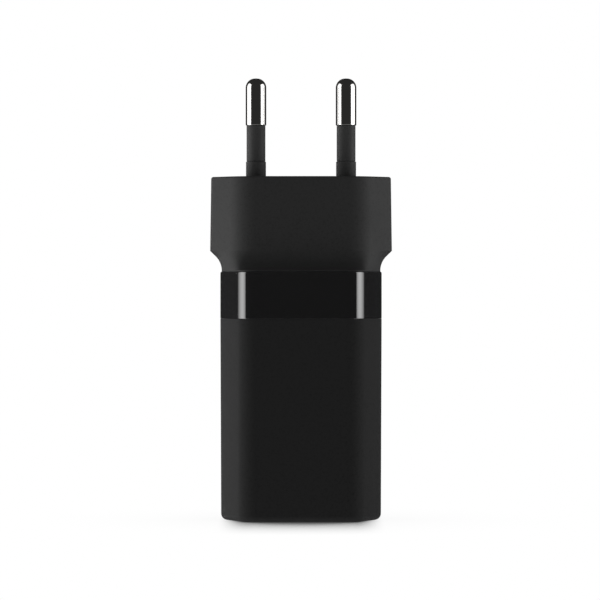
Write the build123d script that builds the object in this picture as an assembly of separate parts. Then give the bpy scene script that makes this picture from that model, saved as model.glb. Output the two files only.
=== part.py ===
from build123d import *
import os
from math import atan2, cos, degrees, radians, sin, sqrt, tan

# USB wall charger with a removable two-pin mains plug head.
# Frame: millimetres, +Z up along the mains pins, X across the width, the front faces -Y.
# The origin is the centre of the flat bottom face that the charger stands on.

# ---------------------------------------------------------------- charger body
BODY_WIDTH = 31.3
BODY_DEPTH = 22.0
CASE_HEIGHT = 39.0
BAND_HEIGHT = 9.1
FRONT_FLAT = 17.4  # width of the flat front and back faces
EDGE_RADIUS = 4.0  # bend from the front or back face to a side facet
FACET_RADIUS = 60.0  # the side facets are very slightly crowned
SIDE_RADIUS = 5.0  # round from a side facet to the middle of the side
SIDE_FLAT = 1.6  # width of the flat strip down the middle of each side
CASE_DRAFT = 0.15  # each side comes in by this much at the bottom
CASE_WALL = 2.0
CASE_FLOOR = 2.2
BASE_ROUND = 1.2
RIM_ROUND = 0.15
BAND_WALL = 2.0
BAND_ROUND = 0.2
BAND_TOP_ROUND = 0.25
SKIRT_HEIGHT = 2.6  # the band's tongue, down inside the case
SKIRT_WALL = 0.9
FIT_GAP = 0.1  # between pieces that push together by hand
SEAM_GAP = 0.08  # between the plug head and the band

# ---------------------------------------------------------------- plug head
HEAD_WIDTH = 35.3
HEAD_THICKNESS = 13.7
HEAD_HEIGHT = 18.4
HEAD_SIDE_FLAT = 1.7
HEAD_EDGE_RADIUS = 7.4
HEAD_SIDE_ROUND = 1.5
HEAD_DRAFT = 0.2  # each side comes in by this much at the plug's face
HEAD_WALL = 1.8
HEAD_FACE_WALL = 2.0
HEAD_TOP_ROUND = 0.4
NECK_STEP = 0.25  # the neck is this much smaller than the band on each side
NECK_RIM = 0.12
COVE_HEIGHT = 3.85
COVE_SWEEP = 60.0  # degrees of an ellipse that each face's cove runs through
COVE_RADIUS = 4.0  # the side coves leave the neck on this radius and meet the plug at 45 degrees
COVE_SLICES = 6
HEAD_PLATE_INSET = 2.6
HEAD_PLATE_THICKNESS = 1.0

# ---------------------------------------------------------------- mains pins
PIN_SPACING = 17.5
PIN_RADIUS = 2.0
PIN_LENGTH = 19.15
PIN_METAL_LENGTH = 9.15
PIN_TIP_ROUND = 1.8
PIN_SHANK_RADIUS = 1.3
PIN_FLANGE_RADIUS = 2.2
PIN_FLANGE_HEIGHT = 1.2
SLEEVE_RADIUS = 1.83
COLLAR_RADIUS = 1.94
COLLAR_HEIGHT = 3.0
COLLAR_GAP = 0.06
CARRIER_HEIGHT = 9.5

# ---------------------------------------------------------------- inlet between body and head
CONTACT_SPACING = 12.0
BLADE_WIDTH = 4.6
BLADE_THICKNESS = 1.2
BLADE_CLEARANCE = 0.05
CLIP_LEAF = 0.3
BOSS_LENGTH = 18.6
BOSS_WIDTH = 8.4
BOSS_HEIGHT = 6.3
BOSS_GAP = 0.2
BOSS_WALL = 1.0
WELL_DEPTH = 6.9
WELL_FLOOR = 1.5
DETENT_HEIGHT = 1.2
DETENT_DEPTH = 0.4
SPRING_LENGTH = 6.0
SPRING_LEAF = 0.25
SPRING_POCKET = 1.7
SPRING_CLEARANCE = 0.06
TAIL_WIDTH = 2.5
TAIL_THICKNESS = 0.6
TAIL_DROP = 3.0

# ---------------------------------------------------------------- USB socket
USB_WIDTH = 13.1
USB_HEIGHT = 5.7
USB_LENGTH = 13.8
USB_SHEET = 0.3
USB_RECESS = 0.5  # the shell's mouth sits this far inside the case's bottom face
USB_OPENING_GAP = 0.2
USB_CORNER = 0.6
USB_MOUTH_CHAMFER = 0.35
TONGUE_WIDTH = 11.1
TONGUE_THICKNESS = 1.84
TONGUE_RECESS = 1.1
TONGUE_GAP = 0.45
USB_BLOCK = 3.0  # the moulded block that closes the shell's inner end
USB_FINGER_WIDTH = 1.6
USB_FINGER_LENGTH = 4.0
USB_FINGER_SPACING = 6.2
CONTACT_WIDTH = 1.0
CONTACT_THICKNESS = 0.15
CONTACT_PITCH = 2.0
CONTACT_OUTER_PITCH = 2.5

# ---------------------------------------------------------------- circuit board and what it carries
BOARD_THICKNESS = 1.2
BOARD_GAP = 0.3
BOARD_LIFT = 0.8  # between the case's floor and the board's lower edge
PART_GAP = 0.4
TRANSFORMER_WIDTH = 13.4
TRANSFORMER_LENGTH = 14.2
CORE_SETBACK = 2.7  # between the case's front wall and the ferrite, which fits where the facets leave room
CORE_PLATE = 2.6
CORE_LIMB_RADIUS = 2.2
BOBBIN_WALL = 0.5
FLANGE_THICKNESS = 0.8
DISC_THICKNESS = 1.9
CAN_RADIUS = 3.3
CAN_BASE = 0.9
CAN_ROUND = 0.5
CAN_SLEEVE = 0.2
SHEET_THICKNESS = 0.25
CHIP_LENGTH = 4.9
CHIP_WIDTH = 3.9
CHIP_HEIGHT = 1.5
CHIP_LEAD = 0.4
CHIP_PITCH = 1.27
JOINT_RADIUS = 0.75
JOINT_HEIGHT = 0.7
CHIP_STANDOFF = 0.15

# ---------------------------------------------------------------- worked out from the above
HALF_WIDTH = BODY_WIDTH / 2
HALF_DEPTH = BODY_DEPTH / 2
SEAM = CASE_HEIGHT + BAND_HEIGHT
HEAD_BOTTOM = SEAM + SEAM_GAP
HEAD_TOP = SEAM + HEAD_HEIGHT
FLARE_BOTTOM = HEAD_BOTTOM + NECK_RIM
FLARE_TOP = FLARE_BOTTOM + COVE_HEIGHT
COLLAR_TOP = HEAD_TOP + COLLAR_HEIGHT
PIN_TOP = HEAD_TOP + PIN_LENGTH
METAL_BOTTOM = PIN_TOP - PIN_METAL_LENGTH
CARRIER_TOP = HEAD_TOP - HEAD_FACE_WALL
CARRIER_BOTTOM = CARRIER_TOP - CARRIER_HEIGHT
HEAD_PLATE_TOP = HEAD_BOTTOM + HEAD_PLATE_THICKNESS
BOSS_BOTTOM = HEAD_BOTTOM - BOSS_HEIGHT
WELL_BOTTOM = SEAM - WELL_DEPTH
INLET_BOTTOM = WELL_BOTTOM - WELL_FLOOR
BLADE_TOP = SEAM - 2 * BOSS_GAP
CLIP_TOP = HEAD_PLATE_TOP + CLIP_LEAF
BOARD_FRONT = USB_HEIGHT / 2
BOARD_BACK = BOARD_FRONT + BOARD_THICKNESS
BOARD_BOTTOM = CASE_FLOOR + BOARD_LIFT
TAIL_BOTTOM = INLET_BOTTOM - TAIL_DROP
BOARD_TOP = INLET_BOTTOM - TAIL_THICKNESS
USB_TOP = USB_RECESS + USB_LENGTH
CAVITY_DEPTH = HALF_DEPTH - CASE_WALL - CASE_DRAFT


# ---------------------------------------------------------------- outlines
def span(start, middle, end):
    """A straight edge where the three points are in line, and an arc through them where they aren't."""
    chord_x, chord_y = end[0] - start[0], end[1] - start[1]
    side = chord_x * (middle[1] - start[1]) - chord_y * (middle[0] - start[0])
    if abs(side) < 1e-6:
        return Line(start, end)
    return ThreePointArc(start, middle, end)


def on_arc(centre, radius, angle):
    """The point on an arc, with the angle in degrees from +Y towards +X."""
    return (centre[0] + radius * sin(radians(angle)), centre[1] + radius * cos(radians(angle)))


def body_arcs(half_width, half_depth, inset=0.0):
    """The three arcs of a quarter of the body's outline, set in by a wall: bend, crowned facet, side round.
    Each is a centre, a radius, and the angles from +Y at which it starts and ends."""
    bend = EDGE_RADIUS - inset
    facet = FACET_RADIUS - inset
    side = SIDE_RADIUS - inset
    bend_centre = (FRONT_FLAT / 2, half_depth - EDGE_RADIUS)
    side_centre = (half_width - SIDE_RADIUS, SIDE_FLAT / 2)
    apart_x, apart_y = bend_centre[0] - side_centre[0], bend_centre[1] - side_centre[1]
    apart = sqrt(apart_x**2 + apart_y**2)
    to_side, to_bend = FACET_RADIUS - SIDE_RADIUS, FACET_RADIUS - EDGE_RADIUS
    along = (to_side**2 - to_bend**2 + apart**2) / (2 * apart)
    across = sqrt(to_side**2 - along**2)
    facet_centre = (
        side_centre[0] + (along * apart_x - across * apart_y) / apart,
        side_centre[1] + (along * apart_y + across * apart_x) / apart,
    )
    leave = degrees(atan2(bend_centre[0] - facet_centre[0], bend_centre[1] - facet_centre[1]))
    arrive = degrees(atan2(side_centre[0] - facet_centre[0], side_centre[1] - facet_centre[1]))
    return [
        (bend_centre, bend, 0, leave),
        (facet_centre, facet, leave, arrive),
        (side_centre, side, arrive, 90),
    ]


def barrel_quadrant(half_width, half_depth, inset=0.0):
    """Seven points of the body's outline, from its back flat round to its side flat, set in by a wall."""
    arcs = body_arcs(half_width, half_depth, inset)
    points = []
    for centre, radius, start, end in arcs:
        points += [on_arc(centre, radius, start), on_arc(centre, radius, (start + end) / 2)]
    return points + [on_arc(*arcs[-1][:2], 90)]


def blade_quadrant(half_width, half_thickness):
    """Seven points of the plug's outline: a front flat, a large round, a 45 degree facet, a small round."""
    half_flat = HEAD_SIDE_FLAT / 2
    facet = half_thickness - half_flat
    tangent = HEAD_EDGE_RADIUS * tan(radians(22.5))
    edge_centre = (half_width - facet - tangent, half_thickness - HEAD_EDGE_RADIUS)
    side_tangent = min(HEAD_SIDE_ROUND * tan(radians(22.5)), half_flat * 0.9)
    side_round = side_tangent / tan(radians(22.5))
    side_centre = (half_width - side_round, half_flat - side_tangent)
    facet_start = on_arc(edge_centre, HEAD_EDGE_RADIUS, 45)
    facet_end = on_arc(side_centre, side_round, 45)
    facet_middle = ((facet_start[0] + facet_end[0]) / 2, (facet_start[1] + facet_end[1]) / 2)
    return [
        on_arc(edge_centre, HEAD_EDGE_RADIUS, 0),
        on_arc(edge_centre, HEAD_EDGE_RADIUS, 22.5),
        facet_start,
        facet_middle,
        facet_end,
        on_arc(side_centre, side_round, 67.5),
        on_arc(side_centre, side_round, 90),
    ]


def outline(quadrant, height):
    """The closed face whose four quarters mirror the one given, at a height."""
    right_back = quadrant
    right_front = [(x, -y) for x, y in reversed(quadrant)]
    left_front = [(-x, -y) for x, y in quadrant]
    left_back = [(-x, y) for x, y in reversed(quadrant)]
    edges = []
    quarters = [right_back, right_front, left_front, left_back]
    for index, points in enumerate(quarters):
        for first in (0, 2, 4):
            edges.append(span(points[first], points[first + 1], points[first + 2]))
        following = quarters[(index + 1) % 4]
        edges.append(Line(points[-1], following[0]))
    return Pos(0, 0, height) * make_face(edges)


def barrel(height, inset=0.0, draft=0.0):
    """The body's outline at a height, set in by a wall and by the case's draft."""
    return outline(barrel_quadrant(HALF_WIDTH - draft, HALF_DEPTH - draft, inset), height)


def barrel_prism(bottom, top, inset=0.0):
    return extrude(barrel(bottom, inset), top - bottom)


def stadium_prism(length, width, bottom, top):
    """An upright prism with round ends, centred on the Z axis."""
    return extrude(Pos(0, 0, bottom) * SlotOverall(length, width), top - bottom)


def block(x, y, z):
    """A box from its low and high values along each axis."""
    size = [high - low for low, high in (x, y, z)]
    centre = [(low + high) / 2 for low, high in (x, y, z)]
    return Pos(*centre) * Box(*size)


def upright(radius, x, y, bottom, top):
    return Pos(x, y, (bottom + top) / 2) * Cylinder(radius, top - bottom)


def forward(radius, x, z, back, front):
    """A round part that stands on the board, with its axis along Y."""
    return Pos(x, (back + front) / 2, z) * Rot(90, 0, 0) * Cylinder(radius, abs(back - front))


def inner_half_width(y):
    """Half the width inside the case, at its narrow end, at a place along its depth."""
    arcs = body_arcs(HALF_WIDTH - CASE_DRAFT, HALF_DEPTH - CASE_DRAFT, CASE_WALL)
    for (centre_x, centre_y), radius, start, end in reversed(arcs):
        if abs(y) <= centre_y + radius * cos(radians(start)):
            return centre_x + sqrt(radius**2 - max(abs(y) - centre_y, 0) ** 2)
    return FRONT_FLAT / 2


def inner_half_depth(x):
    """Half the depth inside the case, at its narrow end, at a place along its width."""
    arcs = body_arcs(HALF_WIDTH - CASE_DRAFT, HALF_DEPTH - CASE_DRAFT, CASE_WALL)
    for (centre_x, centre_y), radius, start, end in arcs:
        if abs(x) <= centre_x + radius * sin(radians(end)):
            return centre_y + sqrt(radius**2 - max(abs(x) - centre_x, 0) ** 2)
    return SIDE_FLAT / 2


# ---------------------------------------------------------------- body shells
def main_case():
    """The lower shell: drafted, rounded base, open top, with the socket's opening in its floor."""
    shell = loft([barrel(0, draft=CASE_DRAFT), barrel(CASE_HEIGHT)], ruled=True)
    base_edges = shell.faces().sort_by(Axis.Z)[0].edges()
    shell = fillet(base_edges, BASE_ROUND)
    rim_edges = shell.faces().sort_by(Axis.Z)[-1].edges()
    shell = fillet(rim_edges, RIM_ROUND)
    cavity_draft = CASE_DRAFT * (1 - CASE_FLOOR / CASE_HEIGHT)
    cavity = loft(
        [barrel(CASE_FLOOR, CASE_WALL, cavity_draft), barrel(CASE_HEIGHT, CASE_WALL)], ruled=True
    )
    rebate_inset = CASE_WALL - SKIRT_WALL - FIT_GAP
    rebate = barrel_prism(CASE_HEIGHT - SKIRT_HEIGHT - FIT_GAP, CASE_HEIGHT, rebate_inset)
    opening_width = USB_WIDTH + 2 * USB_OPENING_GAP
    opening_height = USB_HEIGHT + 2 * USB_OPENING_GAP
    opening = extrude(RectangleRounded(opening_width, opening_height, USB_CORNER), CASE_FLOOR)
    mouth = loft(
        [
            RectangleRounded(
                opening_width + 2 * USB_MOUTH_CHAMFER,
                opening_height + 2 * USB_MOUTH_CHAMFER,
                USB_CORNER + USB_MOUTH_CHAMFER,
            ),
            Pos(0, 0, USB_MOUTH_CHAMFER) * RectangleRounded(opening_width, opening_height, USB_CORNER),
        ]
    )
    return shell - cavity - rebate - opening - mouth


def gloss_band():
    """The glossy ring above the case, with a tongue that drops inside the case's rim."""
    ring = barrel_prism(CASE_HEIGHT, SEAM)
    ring = fillet(ring.faces().sort_by(Axis.Z)[0].edges(), BAND_ROUND)
    ring = fillet(ring.faces().sort_by(Axis.Z)[-1].edges(), BAND_TOP_ROUND)
    skirt_inset = BAND_WALL - SKIRT_WALL
    skirt = barrel_prism(CASE_HEIGHT - SKIRT_HEIGHT, CASE_HEIGHT + BAND_ROUND, skirt_inset)
    return ring + skirt - barrel_prism(CASE_HEIGHT - SKIRT_HEIGHT, SEAM, BAND_WALL)


def inlet_block():
    """The block that closes the band's top: a well for the head's boss, blade slots, spring pockets."""
    body = barrel_prism(INLET_BOTTOM, SEAM, BAND_WALL + FIT_GAP)
    well_length = BOSS_LENGTH + 2 * BOSS_GAP
    well_width = BOSS_WIDTH + 2 * BOSS_GAP
    body -= stadium_prism(well_length, well_width, WELL_BOTTOM, SEAM)
    for side in (-1, 1):
        body -= blade(side)
        body -= spring_pocket(side)
    return body


def spring_pocket(side):
    """The space beside the well that one retaining spring sits in, open to the well."""
    near = BOSS_WIDTH / 2
    far = near + BOSS_GAP + SPRING_POCKET
    half = SPRING_LENGTH / 2 + FIT_GAP
    depth = sorted((side * near, side * far))
    return block((-half, half), depth, (WELL_BOTTOM, SEAM - HEAD_PLATE_THICKNESS))


def retaining_springs():
    """Two bowed leaf springs, one each side of the well, that press on the boss's detents."""
    springs = []
    for side in (-1, 1):
        near = BOSS_WIDTH / 2 + SPRING_CLEARANCE
        far = BOSS_WIDTH / 2 + BOSS_GAP + SPRING_POCKET
        bottom = WELL_BOTTOM
        top = SEAM - HEAD_PLATE_THICKNESS
        middle = (bottom + top) / 2
        bow = Line((far - SPRING_LEAF / 2, bottom), (far - SPRING_LEAF / 2, middle - DETENT_HEIGHT))
        bend = ThreePointArc(
            (far - SPRING_LEAF / 2, middle - DETENT_HEIGHT),
            (near + SPRING_LEAF / 2, middle),
            (far - SPRING_LEAF / 2, middle + DETENT_HEIGHT),
        )
        rest = Line((far - SPRING_LEAF / 2, middle + DETENT_HEIGHT), (far - SPRING_LEAF / 2, top))
        strip = trace([bow, bend, rest], SPRING_LEAF)
        upright_strip = Plane.YZ * strip
        solid = extrude(upright_strip, SPRING_LENGTH / 2, both=True)
        pocket = block(
            (-SPRING_LENGTH / 2, SPRING_LENGTH / 2), (near, far), (bottom, top)
        )
        solid = solid & pocket
        springs.append(solid if side == 1 else mirror(solid, Plane.XZ))
    return Compound(children=springs)


def blade(side):
    """One inlet blade, from the well down through its floor."""
    x = side * CONTACT_SPACING / 2
    return block(
        (x - BLADE_THICKNESS / 2, x + BLADE_THICKNESS / 2),
        (-BLADE_WIDTH / 2, BLADE_WIDTH / 2),
        (INLET_BOTTOM, BLADE_TOP),
    )


def inlet_blade(side):
    """A blade with eased corners and the tail that bends back to the circuit board."""
    x = side * CONTACT_SPACING / 2
    tip = blade(side)
    tip_edges = tip.edges().filter_by(Axis.Y).group_by(Axis.Z)[-1]
    tip = chamfer(tip_edges, BLADE_THICKNESS / 4)
    tail = block(
        (x - BLADE_THICKNESS / 2, x + BLADE_THICKNESS / 2),
        (-TAIL_THICKNESS / 2, TAIL_THICKNESS / 2),
        (TAIL_BOTTOM, INLET_BOTTOM),
    )
    foot = block(
        (x - TAIL_WIDTH / 2, x + TAIL_WIDTH / 2),
        (-TAIL_THICKNESS / 2, BOARD_FRONT),
        (TAIL_BOTTOM, TAIL_BOTTOM + TAIL_THICKNESS),
    )
    return tip + tail + foot


# ---------------------------------------------------------------- USB socket
def usb_shell():
    """The folded metal tube of the socket, with two spring fingers pressed into each wide side."""
    outer = extrude(
        Pos(0, 0, USB_RECESS) * RectangleRounded(USB_WIDTH, USB_HEIGHT, USB_CORNER), USB_LENGTH
    )
    inner_width = USB_WIDTH - 2 * USB_SHEET
    inner_height = USB_HEIGHT - 2 * USB_SHEET
    inner = extrude(
        Pos(0, 0, USB_RECESS) * RectangleRounded(inner_width, inner_height, USB_CORNER - USB_SHEET),
        USB_LENGTH - USB_SHEET,
    )
    tube = outer - inner
    for across in (-1, 1):
        for face in (-1, 1):
            tube -= finger_window(across, face)
            tube += finger(across, face)
    return tube


def finger_bounds(across, face, gap):
    """The x, y and z extents of a spring finger on one wide side, grown by a gap."""
    x = across * USB_FINGER_SPACING / 2
    half = USB_FINGER_WIDTH / 2 + gap
    wall = sorted((face * USB_HEIGHT / 2, face * (USB_HEIGHT / 2 - USB_SHEET)))
    bottom = USB_RECESS + USB_LENGTH / 4
    return (x - half, x + half), wall, (bottom - gap, bottom + USB_FINGER_LENGTH)


def finger_window(across, face):
    return block(*finger_bounds(across, face, USB_SHEET))


def finger(across, face):
    """A finger that stays in line with the wall at its root and leans into the socket at its tip."""
    x, wall, z = finger_bounds(across, face, 0)
    outside = face * USB_HEIGHT / 2
    inward = -face * USB_SHEET
    profile = Polyline(
        (outside, z[1]),
        (outside + inward, z[0]),
        (outside + 2 * inward, z[0]),
        (outside + inward, z[1]),
        close=True,
    )
    return extrude(Pos(sum(x) / 2, 0, 0) * (Plane.YZ * make_face(profile)), USB_FINGER_WIDTH / 2, both=True)


def usb_tongue():
    """The moulded insulator: a block that closes the tube's end and the tongue that carries the contacts."""
    half_width = USB_WIDTH / 2 - USB_SHEET
    half_height = USB_HEIGHT / 2 - USB_SHEET
    top = USB_TOP - USB_SHEET
    moulded = block((-half_width, half_width), (-half_height, half_height), (top - USB_BLOCK, top))
    moulded = fillet(moulded.edges().filter_by(Axis.Z), USB_CORNER - USB_SHEET)
    tongue_back = half_height - TONGUE_GAP
    tongue = block(
        (-TONGUE_WIDTH / 2, TONGUE_WIDTH / 2),
        (tongue_back - TONGUE_THICKNESS, tongue_back),
        (USB_RECESS + TONGUE_RECESS, top - USB_BLOCK),
    )
    tongue = chamfer(tongue.faces().sort_by(Axis.Z)[0].edges(), TONGUE_GAP / 2)
    return moulded + tongue


def usb_contacts():
    """Four plated strips on the tongue's open side; the outer two, for power, start nearer the mouth."""
    surface = USB_HEIGHT / 2 - USB_SHEET - TONGUE_GAP - TONGUE_THICKNESS
    top = USB_TOP - USB_SHEET - USB_BLOCK
    strips = []
    for x, lag in (
        (-CONTACT_PITCH / 2 - CONTACT_OUTER_PITCH, 1.0),
        (-CONTACT_PITCH / 2, 2.0),
        (CONTACT_PITCH / 2, 2.0),
        (CONTACT_PITCH / 2 + CONTACT_OUTER_PITCH, 1.0),
    ):
        strips.append(
            block(
                (x - CONTACT_WIDTH / 2, x + CONTACT_WIDTH / 2),
                (surface - CONTACT_THICKNESS, surface),
                (USB_RECESS + TONGUE_RECESS + lag, top),
            )
        )
    return Compound(children=strips)


# ---------------------------------------------------------------- circuit board
BOARD_HALF = inner_half_width(BOARD_BACK) - BOARD_GAP
SOCKET_LINE = USB_TOP + PART_GAP  # the board above this line is free of the socket
FRONT_LIMIT = -(CAVITY_DEPTH - BOARD_GAP)  # the tallest parts stop here
FULL_RISE = BOARD_FRONT - FRONT_LIMIT
CORE_BACK = BOARD_FRONT - PART_GAP
CORE_FRONT = CORE_SETBACK - CAVITY_DEPTH
TRANSFORMER_LEFT = BOARD_GAP - inner_half_width(CORE_FRONT - BOARD_GAP)
TRANSFORMER_RIGHT = TRANSFORMER_LEFT + TRANSFORMER_WIDTH
TRANSFORMER_X = (TRANSFORMER_LEFT + TRANSFORMER_RIGHT) / 2
TRANSFORMER_Y = (CORE_FRONT + CORE_BACK) / 2
TRANSFORMER_Z = SOCKET_LINE + TRANSFORMER_LENGTH / 2
DISC_X = TRANSFORMER_RIGHT + PART_GAP + DISC_THICKNESS / 2
CAN_X = BOARD_HALF - PART_GAP - CAN_RADIUS
LOWER_CAN_Z = SOCKET_LINE + CAN_RADIUS
UPPER_CAN_Z = LOWER_CAN_Z + 2 * CAN_RADIUS + PART_GAP
UPPER_LINE = SOCKET_LINE + TRANSFORMER_LENGTH + PART_GAP
UPPER_LIMIT = TAIL_BOTTOM - PART_GAP
CHOKE_RADIUS = (UPPER_LIMIT - UPPER_LINE) / 2
CHOKE_X = -BOARD_HALF + PART_GAP + CHOKE_RADIUS
SMALL_CAN_RADIUS = (BOARD_HALF - PART_GAP - USB_WIDTH / 2 - PART_GAP) / 2
SMALL_CAN_X = USB_WIDTH / 2 + PART_GAP + SMALL_CAN_RADIUS
SMALL_CAN_Z = CASE_FLOOR + BOARD_LIFT + SMALL_CAN_RADIUS + PART_GAP


def front_room(x, radius):
    """How far a round part at x may rise before it meets the case's facet, less a gap."""
    return min(FULL_RISE, BOARD_FRONT + inner_half_depth(abs(x) + radius + BOARD_GAP))


def main_board():
    """The circuit board, cut away round the socket's end block."""
    board = block((-BOARD_HALF, BOARD_HALF), (BOARD_FRONT, BOARD_BACK), (BOARD_BOTTOM, BOARD_TOP))
    return chamfer(board.edges().filter_by(Axis.Y), PART_GAP)


def transformer_core():
    """Two E-shaped ferrite halves: end plates joined by a round centre limb and two outer limbs."""
    low, high = TRANSFORMER_Z - TRANSFORMER_LENGTH / 2, TRANSFORMER_Z + TRANSFORMER_LENGTH / 2
    front, back = CORE_FRONT, CORE_BACK
    halves = []
    for start, plate_end in ((low, low + CORE_PLATE), (high - CORE_PLATE, high)):
        half = block((TRANSFORMER_LEFT, TRANSFORMER_RIGHT), (front, back), (start, plate_end))
        limb = sorted((plate_end if start == low else start, TRANSFORMER_Z))
        half += upright(CORE_LIMB_RADIUS, TRANSFORMER_X, TRANSFORMER_Y, *limb)
        for x in (TRANSFORMER_LEFT, TRANSFORMER_RIGHT - CORE_PLATE / 2):
            half += block((x, x + CORE_PLATE / 2), (front, back), limb)
        halves.append(half)
    return Compound(children=halves)


def winding_span():
    low = TRANSFORMER_Z - TRANSFORMER_LENGTH / 2 + CORE_PLATE
    high = TRANSFORMER_Z + TRANSFORMER_LENGTH / 2 - CORE_PLATE
    return low, high


def winding_radius():
    return min(TRANSFORMER_WIDTH / 2 - CORE_PLATE / 2, BOARD_FRONT - TRANSFORMER_Y) - PART_GAP / 2


def transformer_bobbin():
    """The bobbin: a tube round the centre limb with a flange at each end."""
    low, high = winding_span()
    x, y = TRANSFORMER_X, TRANSFORMER_Y
    body = upright(CORE_LIMB_RADIUS + BOBBIN_WALL, x, y, low, high)
    body += upright(winding_radius(), x, y, low, low + FLANGE_THICKNESS)
    body += upright(winding_radius(), x, y, high - FLANGE_THICKNESS, high)
    return body - upright(CORE_LIMB_RADIUS, x, y, low, high)


def transformer_winding():
    """The wound copper, as one closed ring between the flanges."""
    low, high = winding_span()
    x, y = TRANSFORMER_X, TRANSFORMER_Y
    low, high = low + FLANGE_THICKNESS, high - FLANGE_THICKNESS
    outer = winding_radius() - 2 * SHEET_THICKNESS
    return upright(outer, x, y, low, high) - upright(CORE_LIMB_RADIUS + BOBBIN_WALL, x, y, low, high)


def transformer_tape():
    """The tape round the winding."""
    low, high = winding_span()
    x, y = TRANSFORMER_X, TRANSFORMER_Y
    low, high = low + FLANGE_THICKNESS, high - FLANGE_THICKNESS
    inner = winding_radius() - 2 * SHEET_THICKNESS
    return upright(inner + SHEET_THICKNESS, x, y, low, high) - upright(inner, x, y, low, high)


def capacitor_can(radius, x, z, rise):
    """The metal can of a capacitor that stands on the board."""
    front = BOARD_FRONT - rise
    can = forward(radius - CAN_SLEEVE, x, z, BOARD_FRONT - CAN_BASE, front)
    return fillet(can.edges().sort_by(Axis.Y)[0], CAN_ROUND)


def capacitor_sleeve(radius, x, z, rise):
    """The printed plastic sleeve round a can."""
    front = BOARD_FRONT - rise + CAN_ROUND
    tube = forward(radius, x, z, BOARD_FRONT - CAN_BASE, front)
    return tube - forward(radius - CAN_SLEEVE, x, z, BOARD_FRONT - CAN_BASE, front)


def capacitor_bung(radius, x, z):
    """The rubber plug that seals a can and stands on the board."""
    return forward(radius - CAN_SLEEVE, x, z, BOARD_FRONT, BOARD_FRONT - CAN_BASE)


def bulk_places():
    """Radius, x, z and rise of the two mains-side capacitors, one above the other."""
    rise = front_room(CAN_X, CAN_RADIUS)
    return [(CAN_RADIUS, CAN_X, z, rise) for z in (LOWER_CAN_Z, UPPER_CAN_Z)]


def output_places():
    """Radius, x, z and rise of the two output capacitors, one each side of the socket."""
    rise = front_room(SMALL_CAN_X, SMALL_CAN_RADIUS) - PART_GAP
    return [(SMALL_CAN_RADIUS, side * SMALL_CAN_X, SMALL_CAN_Z, rise) for side in (-1, 1)]


def input_choke():
    """A drum core with its winding, wound as one part."""
    rise = front_room(CHOKE_X, CHOKE_RADIUS)
    flange = FLANGE_THICKNESS * 1.5
    back, front = BOARD_FRONT, BOARD_FRONT - rise * 0.7
    drum = forward(CHOKE_RADIUS, CHOKE_X, UPPER_LINE + CHOKE_RADIUS, back, back - flange)
    drum += forward(CHOKE_RADIUS, CHOKE_X, UPPER_LINE + CHOKE_RADIUS, front + flange, front)
    return drum + forward(CHOKE_RADIUS / 2, CHOKE_X, UPPER_LINE + CHOKE_RADIUS, back, front)


def choke_winding():
    rise = front_room(CHOKE_X, CHOKE_RADIUS)
    flange = FLANGE_THICKNESS * 1.5
    back, front = BOARD_FRONT - flange, BOARD_FRONT - rise * 0.7 + flange
    z = UPPER_LINE + CHOKE_RADIUS
    ring = forward(CHOKE_RADIUS - PART_GAP, CHOKE_X, z, back, front)
    return ring - forward(CHOKE_RADIUS / 2, CHOKE_X, z, back, front)


def mains_fuse():
    """A boxed fuse between the choke and the upper capacitor."""
    left = CHOKE_X + CHOKE_RADIUS + PART_GAP
    right = TRANSFORMER_RIGHT - PART_GAP
    width = min(right - left, 2 * CHOKE_RADIUS)
    middle = (left + right) / 2
    body = block(
        (middle - width / 2, middle + width / 2),
        (BOARD_FRONT - FULL_RISE * 0.6, BOARD_FRONT),
        (UPPER_LINE + CHOKE_RADIUS / 2, UPPER_LIMIT),
    )
    return fillet(body.edges().filter_by(Axis.Y), CAN_ROUND)


def disc_capacitor():
    """The safety capacitor between the mains side and the output side."""
    radius = min(TRANSFORMER_LENGTH, FULL_RISE) / 2 - PART_GAP
    x = DISC_X
    disc = Pos(x, BOARD_FRONT - radius, TRANSFORMER_Z) * Rot(0, 90, 0) * Cylinder(radius, DISC_THICKNESS)
    return fillet(disc.edges(), DISC_THICKNESS / 3)


def insulation_sheet():
    """A thin sheet between the board's soldered side and the case's back wall."""
    y = CAVITY_DEPTH - SHEET_THICKNESS
    half = barrel_quadrant(HALF_WIDTH - CASE_DRAFT, HALF_DEPTH - CASE_DRAFT, CASE_WALL)[0][0]
    return block((-half, half), (y - SHEET_THICKNESS, y), (BOARD_BOTTOM, BOARD_TOP))


def chip(x, z):
    """A small moulded chip on the board's back with a row of leads up each side."""
    back = BOARD_BACK + CHIP_STANDOFF
    body = block(
        (x - CHIP_LENGTH / 2, x + CHIP_LENGTH / 2),
        (back, back + CHIP_HEIGHT),
        (z - CHIP_WIDTH / 2, z + CHIP_WIDTH / 2),
    )
    body = chamfer(body.faces().sort_by(Axis.Y)[-1].edges(), CHIP_STANDOFF)
    for place in (-1.5, -0.5, 0.5, 1.5):
        lead_x = x + place * CHIP_PITCH
        for side in (-1, 1):
            edge = z + side * CHIP_WIDTH / 2
            reach = edge + side * 2 * CHIP_LEAD
            body += block(
                (lead_x - CHIP_LEAD / 2, lead_x + CHIP_LEAD / 2),
                (BOARD_BACK, BOARD_BACK + CHIP_STANDOFF + CHIP_LEAD),
                sorted((edge - side * CHIP_LEAD, reach)),
            )
    return body


def rectifier(x, z):
    """The bridge rectifier: a taller moulded block with four leads."""
    body = block(
        (x - CHIP_LENGTH / 2, x + CHIP_LENGTH / 2),
        (BOARD_BACK, BOARD_BACK + CHIP_HEIGHT * 1.5),
        (z - CHIP_WIDTH / 2, z + CHIP_WIDTH / 2),
    )
    return chamfer(body.edges().group_by(Axis.Y)[-1], CHIP_STANDOFF * 2)


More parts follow.
